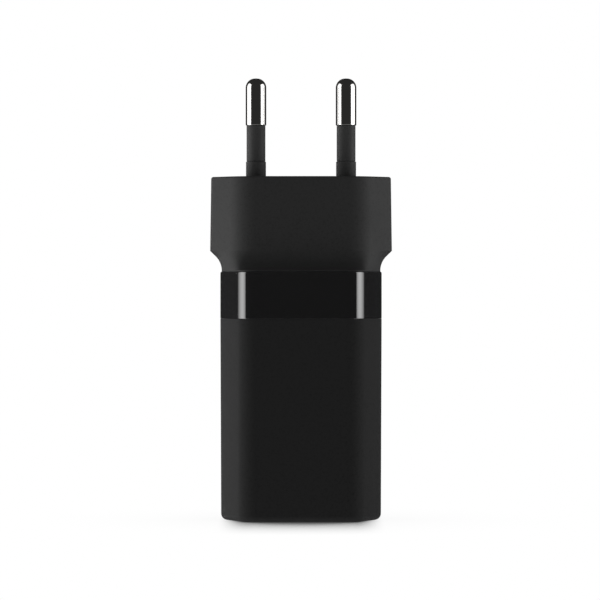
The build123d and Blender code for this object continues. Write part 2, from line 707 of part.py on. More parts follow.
def small_parts():
    """Resistors and small capacitors on the board's back, in a row below and a row above the output chip."""
    pieces = []
    length, width, height = 1.6, 0.8, 0.5
    for z in (BOARD_BOTTOM + 2 * width, SOCKET_LINE - 2 * width):
        for column in range(-2, 3):
            x = column * 3 * length / 2
            pieces.append(
                block(
                    (x - length / 2, x + length / 2),
                    (BOARD_BACK, BOARD_BACK + height),
                    (z - width / 2, z + width / 2),
                )
            )
    return Compound(children=pieces)


def solder_joints():
    """Solder cones on the board's back under each part that has wires through it."""
    places = []
    for radius, x, z, rise in bulk_places() + output_places():
        places += [(x - radius / 3, z), (x + radius / 3, z)]
    for across in (-1, 1):
        places.append((across * CONTACT_SPACING / 2, TAIL_BOTTOM - PART_GAP))
        for up in (-1, 1):
            foot_x = TRANSFORMER_X + across * (TRANSFORMER_WIDTH / 2 - CORE_PLATE)
            foot_z = TRANSFORMER_Z + up * (TRANSFORMER_LENGTH - CORE_PLATE) / 2
            places.append((foot_x, foot_z))
    cones = []
    for x, z in places:
        cone = Cone(JOINT_RADIUS, JOINT_RADIUS / 2, JOINT_HEIGHT)
        cones.append(Pos(x, BOARD_BACK + JOINT_HEIGHT / 2, z) * Rot(-90, 0, 0) * cone)
    return Compound(children=cones)


# ---------------------------------------------------------------- plug head
def side_cove(height):
    """How far a side cove has come out, part way up: an arc from upright to 45 degrees, then a straight."""
    turn = COVE_RADIUS * sin(radians(45))
    if height < turn:
        return COVE_RADIUS - sqrt(COVE_RADIUS**2 - height**2)
    return COVE_RADIUS - turn + height - turn


def cove_shares(height_share):
    """How far the sides and the faces have moved from the neck's outline to the plug's, part way up.
    The sides start upright. The faces run through part of an ellipse that ends upright."""
    side = side_cove(height_share * COVE_HEIGHT) / side_cove(COVE_HEIGHT)
    sweep = sin(radians(COVE_SWEEP))
    full = 1 - sqrt(1 - sweep**2)
    face = 1 - (1 - sqrt(1 - (sweep * (1 - height_share)) ** 2)) / full
    return side, face


def head_section(height_share, height):
    """The plug head's outline part of the way up its coves."""
    neck = barrel_quadrant(HALF_WIDTH - NECK_STEP, HALF_DEPTH - NECK_STEP)
    plug = blade_quadrant(HEAD_WIDTH / 2, HEAD_THICKNESS / 2)
    side, face = cove_shares(height_share)
    points = []
    for (neck_x, neck_y), (plug_x, plug_y) in zip(neck, plug):
        points.append((neck_x + side * (plug_x - neck_x), neck_y + face * (plug_y - neck_y)))
    return outline(points, height)


def head_shell():
    """The plug's outer shell: a neck rim that matches the body, coves, and a flat six-sided plug."""
    rim = extrude(head_section(0, HEAD_BOTTOM), NECK_RIM)
    slices = []
    for index in range(COVE_SLICES + 1):
        share = index / COVE_SLICES
        slices.append(head_section(share, FLARE_BOTTOM + share * COVE_HEIGHT))
    flare = loft(slices)
    face = blade_quadrant(HEAD_WIDTH / 2 - HEAD_DRAFT, HEAD_THICKNESS / 2 - HEAD_DRAFT / 2)
    plug = loft([head_section(1, FLARE_TOP), outline(face, HEAD_TOP)], ruled=True)
    plug = fillet(plug.faces().sort_by(Axis.Z)[-1].edges(), HEAD_TOP_ROUND)
    shell = rim + flare + plug
    shell -= extrude(carrier_outline(HEAD_BOTTOM, 0), CARRIER_TOP - HEAD_BOTTOM)
    shell -= barrel_prism(HEAD_BOTTOM, HEAD_PLATE_TOP, HEAD_PLATE_INSET)
    for side in (-1, 1):
        shell -= upright(COLLAR_RADIUS + COLLAR_GAP, side * PIN_SPACING / 2, 0, CARRIER_TOP, HEAD_TOP)
    return shell


def carrier_outline(height, gap):
    """The outline of the space inside the plug, less a gap: the neck's width and the plug's thickness."""
    half_width = HALF_WIDTH - NECK_STEP - HEAD_WALL - gap
    half_thickness = HEAD_THICKNESS / 2 - HEAD_DRAFT / 2 - HEAD_WALL - gap
    flat_half = half_width - half_thickness / 2
    points = Polyline(
        (flat_half, half_thickness),
        (half_width, half_thickness / 2),
        (half_width, -half_thickness / 2),
        (flat_half, -half_thickness),
        (-flat_half, -half_thickness),
        (-half_width, -half_thickness / 2),
        (-half_width, half_thickness / 2),
        (-flat_half, half_thickness),
        close=True,
    )
    return Pos(0, 0, height) * make_face(points)


def mains_pin(side):
    """A solid pin: bare rounded tip, thinner shank through the sleeve, and a flange the carrier grips."""
    x = side * PIN_SPACING / 2
    tip = upright(PIN_RADIUS, x, 0, METAL_BOTTOM, PIN_TOP)
    tip = fillet(tip.edges().sort_by(Axis.Z)[-1], PIN_TIP_ROUND)
    shank = upright(PIN_SHANK_RADIUS, x, 0, CLIP_TOP, METAL_BOTTOM)
    flange_middle = (CARRIER_BOTTOM + CARRIER_TOP) / 2
    flange = upright(
        PIN_FLANGE_RADIUS, x, 0, flange_middle - PIN_FLANGE_HEIGHT / 2, flange_middle + PIN_FLANGE_HEIGHT / 2
    )
    return tip + shank + flange


def pin_sleeve(side):
    """The insulating tube between the collar and the bare metal."""
    x = side * PIN_SPACING / 2
    tube = upright(SLEEVE_RADIUS, x, 0, COLLAR_TOP, METAL_BOTTOM)
    return tube - upright(PIN_SHANK_RADIUS, x, 0, COLLAR_TOP, METAL_BOTTOM)


def pin_carrier():
    """The moulding that holds both pins and stands out of the plug's face as two collars."""
    body = extrude(carrier_outline(CARRIER_BOTTOM, FIT_GAP), CARRIER_HEIGHT)
    for side in (-1, 1):
        collar = upright(COLLAR_RADIUS, side * PIN_SPACING / 2, 0, CARRIER_TOP, COLLAR_TOP)
        collar = fillet(collar.edges().sort_by(Axis.Z)[-1], COLLAR_GAP)
        body += collar
    for side in (-1, 1):
        body -= mains_pin(side)
    return body


def clip_half_width():
    return BLADE_WIDTH / 2 + BLADE_CLEARANCE + CLIP_LEAF


def head_base():
    """The plate that closes the neck, and the boss with a pocket for each contact clip."""
    plate = barrel_prism(HEAD_BOTTOM, HEAD_PLATE_TOP, HEAD_PLATE_INSET + FIT_GAP)
    boss = stadium_prism(BOSS_LENGTH, BOSS_WIDTH, BOSS_BOTTOM, HEAD_BOTTOM)
    boss = chamfer(boss.faces().sort_by(Axis.Z)[0].edges(), DETENT_DEPTH)
    body = plate + boss
    middle = (WELL_BOTTOM + SEAM - HEAD_PLATE_THICKNESS) / 2
    for face in (-1, 1):
        groove = block(
            (-SPRING_LENGTH / 2 - BOSS_GAP, SPRING_LENGTH / 2 + BOSS_GAP),
            sorted((face * (BOSS_WIDTH / 2 - DETENT_DEPTH), face * BOSS_WIDTH / 2)),
            (middle - DETENT_HEIGHT, middle + DETENT_HEIGHT),
        )
        body -= groove
    for side in (-1, 1):
        body -= clip_pocket(side)
        body -= blade_slot(side)
    return body


def leaf_outer():
    """From a blade's middle to the outer face of a contact clip's leaf."""
    return BLADE_THICKNESS / 2 + BLADE_CLEARANCE + CLIP_LEAF


def clip_pocket(side):
    """The space inside the boss that holds one contact clip."""
    x = side * CONTACT_SPACING / 2
    half = leaf_outer() + FIT_GAP
    return block(
        (x - half, x + half),
        (-BLADE_WIDTH / 2 - FIT_GAP, BLADE_WIDTH / 2 + FIT_GAP),
        (BOSS_BOTTOM + BOSS_WALL, HEAD_PLATE_TOP),
    )


def blade_slot(side):
    """The slot in the boss's end that a blade enters by."""
    x = side * CONTACT_SPACING / 2
    half = BLADE_THICKNESS / 2 + BOSS_GAP
    return block(
        (x - half, x + half),
        (-BLADE_WIDTH / 2 - BOSS_GAP, BLADE_WIDTH / 2 + BOSS_GAP),
        (BOSS_BOTTOM, BOSS_BOTTOM + BOSS_WALL),
    )


def contact_clip(side):
    """A sprung contact: two leaves that grip a blade, and a plate that runs out to the foot of the pin."""
    x = side * CONTACT_SPACING / 2
    pin_x = side * PIN_SPACING / 2
    half_width = BLADE_WIDTH / 2
    bottom = BOSS_BOTTOM + BOSS_WALL + FIT_GAP
    clip = None
    for lean in (-1, 1):
        near = x + lean * (leaf_outer() - CLIP_LEAF)
        far = x + lean * leaf_outer()
        leaf = block(sorted((near, far)), (-half_width, half_width), (bottom, HEAD_PLATE_TOP))
        clip = leaf if clip is None else clip + leaf
    reach = PIN_SHANK_RADIUS + CLIP_LEAF
    low = min(x - leaf_outer(), pin_x - reach)
    high = max(x + leaf_outer(), pin_x + reach)
    return clip + block((low, high), (-half_width, half_width), (HEAD_PLATE_TOP, CLIP_TOP))


# ---------------------------------------------------------------- all nodes
def group(pieces):
    return Compound(children=list(pieces))


def nodes():
    bulk = bulk_places()
    output = output_places()
    between_cans = (LOWER_CAN_Z + UPPER_CAN_Z) / 2
    return {
        "main_case": main_case(),
        "gloss_band": gloss_band(),
        "inlet_block": inlet_block(),
        "retaining_springs": retaining_springs(),
        "inlet_blade_left": inlet_blade(-1),
        "inlet_blade_right": inlet_blade(1),
        "usb_shell": usb_shell(),
        "usb_tongue": usb_tongue(),
        "usb_contacts": usb_contacts(),
        "main_board": main_board(),
        "transformer_core": transformer_core(),
        "transformer_bobbin": transformer_bobbin(),
        "transformer_winding": transformer_winding(),
        "transformer_tape": transformer_tape(),
        "mains_capacitor_cans": group(capacitor_can(*place) for place in bulk),
        "mains_capacitor_sleeves": group(capacitor_sleeve(*place) for place in bulk),
        "mains_capacitor_bungs": group(capacitor_bung(*place[:3]) for place in bulk),
        "output_capacitor_cans": group(capacitor_can(*place) for place in output),
        "output_capacitor_sleeves": group(capacitor_sleeve(*place) for place in output),
        "output_capacitor_bungs": group(capacitor_bung(*place[:3]) for place in output),
        "input_choke_core": input_choke(),
        "input_choke_winding": choke_winding(),
        "mains_fuse": mains_fuse(),
        "safety_capacitor": disc_capacitor(),
        "insulation_sheet": insulation_sheet(),
        "controller_chip": chip(TRANSFORMER_X, TRANSFORMER_Z),
        "output_chip": chip(0, (BOARD_BOTTOM + SOCKET_LINE) / 2),
        "bridge_rectifier": rectifier(CAN_X - CAN_RADIUS / 2, between_cans),
        "small_parts": small_parts(),
        "solder_joints": solder_joints(),
        "head_shell": head_shell(),
        "head_base": head_base(),
        "pin_carrier": pin_carrier(),
        "mains_pin_left": mains_pin(-1),
        "mains_pin_right": mains_pin(1),
        "pin_sleeve_left": pin_sleeve(-1),
        "pin_sleeve_right": pin_sleeve(1),
        "contact_clip_left": contact_clip(-1),
        "contact_clip_right": contact_clip(1),
    }


os.makedirs("parts", exist_ok=True)
for name, shape in nodes().items():
    export_step(shape, f"parts/{name}.step")
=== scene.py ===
from math import pi, radians

import bpy
import numpy as np
from bpy.props import FloatProperty, FloatVectorProperty, PointerProperty
from bpy.types import NodeSocket, Operator, Panel, PropertyGroup
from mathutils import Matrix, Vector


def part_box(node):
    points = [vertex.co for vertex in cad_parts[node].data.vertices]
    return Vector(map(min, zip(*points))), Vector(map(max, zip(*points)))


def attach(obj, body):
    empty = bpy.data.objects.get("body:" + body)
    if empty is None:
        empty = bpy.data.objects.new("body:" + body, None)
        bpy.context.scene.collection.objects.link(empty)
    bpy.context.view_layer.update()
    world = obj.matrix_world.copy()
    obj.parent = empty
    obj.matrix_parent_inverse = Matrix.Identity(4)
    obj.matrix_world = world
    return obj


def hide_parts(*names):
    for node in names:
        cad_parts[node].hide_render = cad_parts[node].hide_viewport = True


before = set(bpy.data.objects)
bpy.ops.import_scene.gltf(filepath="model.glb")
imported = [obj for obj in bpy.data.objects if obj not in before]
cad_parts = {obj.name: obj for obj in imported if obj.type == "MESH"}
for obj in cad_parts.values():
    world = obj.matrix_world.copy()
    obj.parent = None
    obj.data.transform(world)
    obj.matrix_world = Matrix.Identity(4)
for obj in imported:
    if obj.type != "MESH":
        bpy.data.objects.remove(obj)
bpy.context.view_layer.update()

bl_info = {
    "name": "USB Wall Charger",
    "version": (1, 0, 0),
    "blender": (4, 5, 0),
    "location": "3D Viewport > Sidebar > Charger",
    "description": "Moulded shells, turned pins, finishes and a studio for the packed wall charger",
    "category": "Object",
}

# Everything is in metres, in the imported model's frame: +Z up along the pins, the front faces -Y.
MM = 0.001
_, CASE_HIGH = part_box("main_case")
_, BAND_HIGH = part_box("gloss_band")
HEAD_LOW, HEAD_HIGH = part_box("head_shell")
PIN_LOW, PIN_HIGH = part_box("mains_pin_right")
SLEEVE_LOW, SLEEVE_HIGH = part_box("pin_sleeve_right")
CARRIER_LOW, CARRIER_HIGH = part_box("pin_carrier")
HALF_WIDTH, HALF_DEPTH = CASE_HIGH.x, CASE_HIGH.y
PIN_X = (PIN_LOW.x + PIN_HIGH.x) / 2
CARRIER_HEIGHT = 9.5 * MM  # without its collars
CAVITY_FLAT = 8.6 * MM  # half the flat of the plug's inside, up to its slanted facet
PIN_AXES = np.array((PIN_X, 0.0)), np.array((-PIN_X, 0.0))  # the right pin's and the left one's

# Edges along each stretch of a quarter outline, from the middle of the back to the middle of the side.
FLAT, BEND, FACET, ROUND, SIDE = 10, 22, 10, 14, 4
MIDDLE = 16  # edges along the line across the plug that parts its two pins
AROUND = 96  # edges round a turned piece
COVE_ROWS = 29  # rows of points up the coves
CREASE = radians(32)  # a sharper bend than this is shaded as an edge


# ---------------------------------------------------------------- settings
def length(name, millimetres, description):
    """A size, kept in metres."""
    return FloatProperty(
        name=name, description=description, default=millimetres * MM, min=0.0, precision=5,
        unit="LENGTH", subtype="DISTANCE",
    )


def share(name, value, description):
    """A value from 0 to 1."""
    return FloatProperty(
        name=name, description=description, default=value, min=0.0, max=1.0, subtype="FACTOR"
    )


def strength(name, value, description):
    """A light's radiance."""
    return FloatProperty(name=name, description=description, default=value, min=0.0)


def tint(name, value, description):
    """A colour."""
    return FloatVectorProperty(
        name=name, description=description, default=value, size=3, min=0.0, max=1.0, subtype="COLOR"
    )


class ChargerBodySizes(PropertyGroup):
    """Sizes of the case and the band."""

    front_flat: length("Front flat", 17.4, "Width of the flat front and back faces")
    edge_radius: length("Edge radius", 4.0, "Bend from the front face to a side facet")
    facet_radius: length("Facet radius", 60.0, "Crown of the side facets")
    side_radius: length("Side radius", 5.0, "Round from a facet to the middle of the side")
    side_flat: length("Side flat", 1.6, "Flat strip down the middle of each side")
    draft: length("Draft", 0.15, "How far each side comes in at the bottom")
    wall: length("Wall", 2.0, "Thickness of the case's and the band's walls")
    floor: length("Floor", 2.2, "Thickness of the case's floor")
    base_round: length("Base round", 1.2, "Round where the sides meet the bottom")
    rim_round: length("Rim round", 0.08, "Round on the case's upper rim")
    band_round: length("Band round", 0.04, "Depth of the round on the band's lower edge")
    band_top_round: length("Band top round", 0.2, "Depth of the round on the band's upper edge")
    band_groove: length("Band groove", 0.03, "Shadow gap between the case and the band")
    skirt: length("Skirt", 2.6, "How far the band reaches down inside the case")
    skirt_wall: length("Skirt wall", 0.9, "Thickness of the band's skirt")
    fit_gap: length("Fit gap", 0.1, "Gap between pieces that push together")
    socket_width: length("Socket width", 13.5, "Width of the opening for the USB socket")
    socket_height: length("Socket height", 6.1, "Depth of the opening for the USB socket")
    socket_corner: length("Socket corner", 0.6, "Corner radius of the opening")
    socket_chamfer: length("Socket chamfer", 0.35, "Chamfer round the opening's mouth")


class ChargerHeadSizes(PropertyGroup):
    """Sizes of the plug head, its pins and its sleeves."""

    thickness: length("Thickness", 13.7, "Thickness of the plug from front to back")
    side_flat: length("Side flat", 1.7, "Flat strip down the middle of each side")
    edge_radius: length("Edge radius", 7.4, "Bend from the front face to a facet")
    side_round: length("Side round", 1.5, "Round between a facet and the side")
    draft: length("Draft", 0.2, "How far each side comes in at the top")
    top_round: length("Top round", 0.4, "Round on the plug's upper edge")
    neck_step: length("Neck step", 0.25, "How far the neck is set in from the band")
    rim_gap: length("Rim gap", 0.02, "Gap between the neck's rim and the band")
    neck_rim: length("Neck rim", 0.12, "Height of the straight rim under the coves")
    cove: length("Cove height", 3.85, "Height of the coves between neck and plug")
    cove_radius: length("Cove radius", 4.0, "Radius on which the side coves leave the neck")
    wall: length("Wall", 1.8, "Thickness of the plug's walls")
    plate_inset: length("Plate inset", 2.6, "From the body's outline to the recess for the base plate")
    plate: length("Plate", 1.0, "Thickness of the base plate")
    collar_radius: length("Collar radius", 1.94, "Radius of the collar round each pin")
    collar_gap: length("Collar gap", 0.06, "Gap round each collar in the plug's top")
    sleeve_radius: length("Sleeve radius", 1.83, "Radius of the insulating sleeves")
    pin_radius: length("Pin radius", 2.0, "Radius of the bare metal")
    shank_radius: length("Shank radius", 1.3, "Radius of the pin inside its sleeve")
    flange_radius: length("Flange radius", 2.2, "Radius of the flange that the carrier grips")
    flange_height: length("Flange height", 1.2, "Height of that flange")
    tip_round: length("Tip round", 1.8, "Round on the end of each pin")


class ChargerFinishes(PropertyGroup):
    """Colours and surface values of the finishes that show."""

    case_black: tint("Case black", (0.0132, 0.0132, 0.0133), "Colour of the textured case")
    head_black: tint("Plug black", (0.0198, 0.0198, 0.0199), "Colour of the textured plug head")
    sleeve_black: tint("Sleeve black", (0.033, 0.033, 0.033), "Colour of the sleeves and collars")
    matt_roughness: share("Matt roughness", 0.72, "Roughness of the textured mouldings")
    matt_gloss: share("Matt gloss", 0.06, "Specular level of the textured mouldings")
    gloss_black: tint("Gloss black", (0.0072, 0.0072, 0.0074), "Colour of the polished band")
    gloss_roughness: share("Gloss roughness", 0.07, "Roughness of the polished band")
    plating: tint("Plating", (0.80, 0.79, 0.77), "Colour of the plated pins")
    plating_roughness: share("Plating roughness", 0.09, "Roughness of the plated pins")


class ChargerStudio(PropertyGroup):
    """The camera and the lights."""

    distance: length("Camera distance", 750.0, "From the object's middle to the camera")
    eye_height: length("Camera height", 42.62, "Height of the level camera")
    lens: FloatProperty(
        name="Lens", description="Focal length of the camera", default=231.6, min=1.0,
        unit="CAMERA",
    )
    side_light: strength("Side lights", 3.85, "Radiance in the middle of the side lights")
    rim_light: strength("Rim lights", 9.0, "Radiance of the lights behind the sides")
    top_light: strength("Top light", 0.15, "Radiance of the overhead light")
    bounce: strength("Bounce", 0.25, "Radiance of the floor in gloss")
    sky: strength("Sky", 0.15, "Radiance that falls from above")
    fill: strength("Fill", 0.025, "Radiance of the room all round")


# ---------------------------------------------------------------- outlines
def arc(centre, radius, start, end, count):
    """Points round an arc, its last left out: the centre plus the radius times the sine and the cosine of
    an angle that grows evenly, in degrees from +Y towards +X."""
    angle = np.radians(np.linspace(start, end, count + 1)[:-1])
    return np.column_stack((centre[0] + radius * np.sin(angle), centre[1] + radius * np.cos(angle)))


def straight(start, end, count):
    """Points along a straight edge, its last left out, closer together near both ends: the share of the
    way along is half of one minus the cosine of an angle that grows evenly from 0 to pi."""
    way = (1 - np.cos(np.linspace(0, pi, count + 1)[:-1])) / 2
    return np.asarray(start) + way[:, None] * np.subtract(end, start)


def body_quarter(sizes, draft=0.0, inset=0.0):
    """A quarter of the body's outline, from the middle of the back to the middle of the side: a straight,
    a bend, a slightly crowned facet tangent to its two neighbours, a round and a short straight. A wall
    sets every arc in by the same amount about the same centre."""
    width, depth = HALF_WIDTH - draft, HALF_DEPTH - draft
    bend = np.array((sizes.front_flat / 2, depth - sizes.edge_radius))
    side = np.array((width - sizes.side_radius, sizes.side_flat / 2))
    apart = np.hypot(*(bend - side))
    to_side, to_bend = sizes.facet_radius - sizes.side_radius, sizes.facet_radius - sizes.edge_radius
    along = (to_side**2 - to_bend**2 + apart**2) / (2 * apart)
    across = np.sqrt(to_side**2 - along**2)
    unit = (bend - side) / apart
    facet = side + along * unit + across * np.array((-unit[1], unit[0]))
    leave = np.degrees(np.arctan2(*(bend - facet)))
    arrive = np.degrees(np.arctan2(*(side - facet)))
    return np.vstack((
        straight((0, depth - inset), (bend[0], depth - inset), FLAT),
        arc(bend, sizes.edge_radius - inset, 0, leave, BEND),
        arc(facet, sizes.facet_radius - inset, leave, arrive, FACET),
        arc(side, sizes.side_radius - inset, arrive, 90, ROUND),
        straight((width - inset, side[1]), (width - inset, 0), SIDE),
        [(width - inset, 0)],
    ))


def plug_quarter(sizes, draft=0.0, inset=0.0):
    """A quarter of the plug's outline: a straight, a large bend to 45 degrees, a flat facet, a small round
    and a short straight. Setting it in shortens the side's flat by the tangent of 22.5 degrees."""
    width = HEAD_HIGH.x - draft - inset
    depth = sizes.thickness / 2 - draft / 2 - inset
    tangent = np.tan(radians(22.5))
    half_flat = sizes.side_flat / 2 - inset * tangent + draft * tangent / 2
    facet = depth - half_flat
    bend_radius = sizes.edge_radius - inset
    bend = (width - facet - bend_radius * tangent, depth - bend_radius)
    side_radius = sizes.side_round - inset
    side = (width - side_radius, half_flat - side_radius * tangent)
    corner = np.array((np.sin(radians(45)), np.cos(radians(45))))
    return np.vstack((
        straight((0, depth), (bend[0], depth), FLAT),
        arc(bend, bend_radius, 0, 45, BEND),
        straight(bend + bend_radius * corner, side + side_radius * corner, FACET),
        arc(side, side_radius, 45, 90, ROUND),
        straight((width, side[1]), (width, 0), SIDE),
        [(width, 0)],
    ))


def box_quarter(half_width, half_depth, corner):
    """A quarter of a rectangle with round corners, with as many points as the body's quarter."""
    return np.vstack((
        straight((0, half_depth), (half_width - corner, half_depth), FLAT),
        arc((half_width - corner, half_depth - corner), corner, 0, 90, BEND),
        straight((half_width, half_depth - corner), (half_width, 0), FACET + ROUND + SIDE),
        [(half_width, 0)],
    ))


def cavity_quarter(sizes, gap=0.0):
    """A quarter of the six-sided space inside the plug, less a gap, with as many points as the plug's."""
    depth = sizes.thickness / 2 - sizes.draft / 2 - sizes.wall - gap
    width = HALF_WIDTH - sizes.neck_step - sizes.wall - gap
    return np.vstack((
        straight((0, depth), (CAVITY_FLAT, depth), FLAT),
        straight((CAVITY_FLAT, depth), (width - depth / 2, depth), BEND),
        straight((width - depth / 2, depth), (width, depth / 2), FACET + ROUND),
        straight((width, depth / 2), (width, 0), SIDE),
        [(width, 0)],
    ))


def loop(quarter):
    """A closed outline, clockwise from above: a quarter and its images in X, in both and in Y, each
    without its last point."""
    back = quarter[::-1]
    return np.vstack((quarter[:-1], back[:-1] * (1, -1), -quarter[:-1], back[:-1] * (-1, 1)))


def at_height(outline, height):
    """An outline's points at one height: x and y as they are, and the same z for all."""
    return np.column_stack((outline, np.full(len(outline), height)))


def halves(outline):
    """The two closed half outlines either side of the middle line between the pins."""
    half = len(outline) // 2
    for start in (0, half):
        side = np.roll(outline, -start, axis=0)[: half + 1]
        yield np.vstack((side, straight(side[-1], side[0], MIDDLE)[1:]))


def circle_facing(ring, centre, radius):
    """A circle whose points face those of a ring: the centre plus the radius times the unit vector from
    the centre to each of the ring's points."""
    ray = ring - centre
    return centre + radius * ray / np.linalg.norm(ray, axis=1)[:, None]


def rounded(radius, count):
    """How far a quarter round is set in, how far it has risen, and how worn it is, from its lower end: the
    radius times one minus the cosine, the radius times the sine, and the sine of twice the angle, of an
    angle that grows evenly to a right angle."""
    angle = np.linspace(0, pi / 2, count + 1)
    return list(zip(radius * (1 - np.cos(angle)), radius * np.sin(angle), np.sin(2 * angle)))


# ---------------------------------------------------------------- meshes
def grid(rows, torus=False):
    """The corners of the quads of a grid whose rows are closed rings: each point, its neighbour, and the
    same two in the next row. A torus joins its last row to its first."""
    count, across = len(rows), len(rows[0])
    index = np.arange(count * across).reshape(count, across)
    following = np.roll(index, -1, axis=0)
    quads = np.stack((index, np.roll(index, -1, 1), np.roll(following, -1, 1), following), axis=-1)
    return (quads if torus else quads[:-1]).reshape(-1, 4)


def weld(points, quads, edge):
    """One vertex for every place: points that agree to a tenth of a micrometre are joined, a quad that
    loses one corner becomes a triangle, and one that loses more goes."""
    keys = np.floor(points * 1e7 + 0.637).astype(np.int64)
    _, first, joined = np.unique(keys, axis=0, return_index=True, return_inverse=True)
    joined = joined.reshape(-1)
    worn = np.zeros(len(first))
    np.maximum.at(worn, joined, edge)
    quads = joined[quads]
    same = quads == np.roll(quads, -1, axis=1)
    quads, same = quads[same.sum(axis=1) < 2], same[same.sum(axis=1) < 2]
    short = same.any(axis=1)
    order = (same[short].argmax(axis=1)[:, None] + np.array((1, 2, 3))) % 4
    return points[first], quads[~short], np.take_along_axis(quads[short], order, axis=1), worn


def volume(points, triangles):
    """Six times the volume inside: the sum of each triangle's corners multiplied as a determinant."""
    a, b, c = (points[triangles[:, corner]] for corner in range(3))
    return np.einsum("ij,ij->", a, np.cross(b, c))


def build(name, surfaces, material, body, replaced):
    """A closed piece from its surfaces, each the rows of a grid, how worn each row is, and whether the
    last row joins the first. The faces are turned outwards by the sign of the volume inside."""
    points, quads, edge, count = [], [], [], 0
    for rows, wear, torus in surfaces:
        quads.append(grid(rows, torus) + count)
        points.append(np.vstack(rows))
        edge.append(np.repeat(wear, len(rows[0])))
        count += len(points[-1])
    places, whole, short, worn = weld(np.vstack(points), np.vstack(quads), np.concatenate(edge))
    triangles = np.vstack((whole[:, :3], whole[:, (0, 2, 3)], short))
    if volume(places, triangles) < 0:
        whole, short = whole[:, ::-1], short[:, ::-1]
    mesh = bpy.data.meshes.new(name)
    mesh.from_pydata(places.tolist(), [], whole.tolist() + short.tolist())
    if mesh.validate():
        raise RuntimeError(f"{name} has faces that Blender can't use")
    mesh.attributes.new("edge", "FLOAT", "POINT").data.foreach_set("value", worn)
    mesh.shade_smooth()
    mesh.set_sharp_from_angle(angle=CREASE)
    mesh.materials.append(material)
    piece = bpy.data.objects.new(name, mesh)
    bpy.context.scene.collection.objects.link(piece)
    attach(piece, body)
    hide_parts(*replaced)


def levels(*rows):
    """Splits rows of outline, height and wear into points and wear."""
    return [at_height(outline, height) for outline, height, _ in rows], [wear for *_, wear in rows]


def turned(profile, centre):
    """A profile of radius, height and wear turned about an upright axis: the centre plus the radius
    times the sine and the cosine of an angle that grows evenly all the way round."""
    angle = np.linspace(0, 2 * pi, AROUND, endpoint=False)
    ring = np.column_stack((np.sin(angle), np.cos(angle)))
    return levels(*((centre + radius * ring, height, wear) for radius, height, wear in profile))


def pair(label, packed, profile, torus, material):
    """The same turned piece on each pin's axis."""
    for centre, name in zip(PIN_AXES, ("right", "left")):
        surfaces = [(*turned(profile, centre), torus)]
        build(f"{label}_{name}", surfaces, material, "plug_head", [f"{packed}_{name}"])


# ---------------------------------------------------------------- nodes
def feed(tree, made, values):
    """Sets or links a node's inputs, by name or number."""
    for key, value in values.items():
        if isinstance(value, NodeSocket):
            tree.links.new(value, made.inputs[key])
        else:
            made.inputs[key].default_value = value
    return made


def node(tree, kind, values=None, **settings):
    """A node with its settings, and its inputs set or linked."""
    made = tree.nodes.new(kind)
    for key, value in settings.items():
        setattr(made, key, value)
    return feed(tree, made, values or {})


def maths(tree, operation, *values, clamp=False):
    """One step of arithmetic on one, two or three numbers."""
    return node(
        tree, "ShaderNodeMath", dict(enumerate(values)), operation=operation, use_clamp=clamp
    ).outputs[0]


def mixed(tree, factor, first, second):
    """Two colours mixed."""
    return node(tree, "ShaderNodeMix", {0: factor, 6: first, 7: second}, data_type="RGBA").outputs[2]


def between(tree, factor, first, second):
    """Two numbers mixed."""
    return node(tree, "ShaderNodeMix", {0: factor, 2: first, 3: second}, data_type="FLOAT").outputs[0]


def remap(tree, value, low, high, to_low=0.0, to_high=1.0):
    """A number taken from one range to another, and held inside it."""
    return node(
        tree, "ShaderNodeMapRange", {0: value, 1: low, 2: high, 3: to_low, 4: to_high}, clamp=True
    ).outputs[0]


def place(tree):
    """Where a point is on the piece."""
    return node(tree, "ShaderNodeTexCoord").outputs["Object"]


def noise(tree, scale, detail=2.0, vector=None, roughness=0.5):
    """Noise over the piece, its scale in cells to the metre."""
    values = {"Vector": vector or place(tree), "Scale": scale, "Detail": detail, "Roughness": roughness}
    return node(tree, "ShaderNodeTexNoise", values).outputs["Fac"]


def effect(name, inputs, outputs):
    """Makes a function that gives a shared node group, and builds it the first time that it is asked."""

    def wrap(wire):
        def get():
            tree = bpy.data.node_groups.get(name)
            if tree is None:
                tree = bpy.data.node_groups.new(name, "ShaderNodeTree")
                for label, kind, value in inputs:
                    socket = tree.interface.new_socket(
                        label, in_out="INPUT", socket_type=f"NodeSocket{kind}"
                    )
                    socket.default_value = value
                for label, kind in outputs:
                    tree.interface.new_socket(label, in_out="OUTPUT", socket_type=f"NodeSocket{kind}")
                start, end = tree.nodes.new("NodeGroupInput"), tree.nodes.new("NodeGroupOutput")
                for label, value in wire(tree, start.outputs).items():
                    tree.links.new(value, end.inputs[label])
            return tree

        return get

    return wrap


def use(tree, get, values):
    """A shared effect placed in a finish with its own values."""
    return node(tree, "ShaderNodeGroup", values, node_tree=get()).outputs


BLACK, WHITE = (0, 0, 0, 1), (1, 1, 1, 1)


@effect("Spark texture", [("Scale", "Float", 5000.0)], [("Height", "Float"), ("Pits", "Float")])
def spark_texture(tree, given):
    """The fine pitted grain of a spark-eroded mould: two sizes of noise, with pits where both are low."""
    fine = noise(tree, given["Scale"], 2.0)
    coarse = noise(tree, maths(tree, "MULTIPLY", given["Scale"], 0.37), 1.0)
    height = between(tree, 0.4, fine, coarse)
    return {"Height": height, "Pits": remap(tree, height, 0.5, 0.34)}


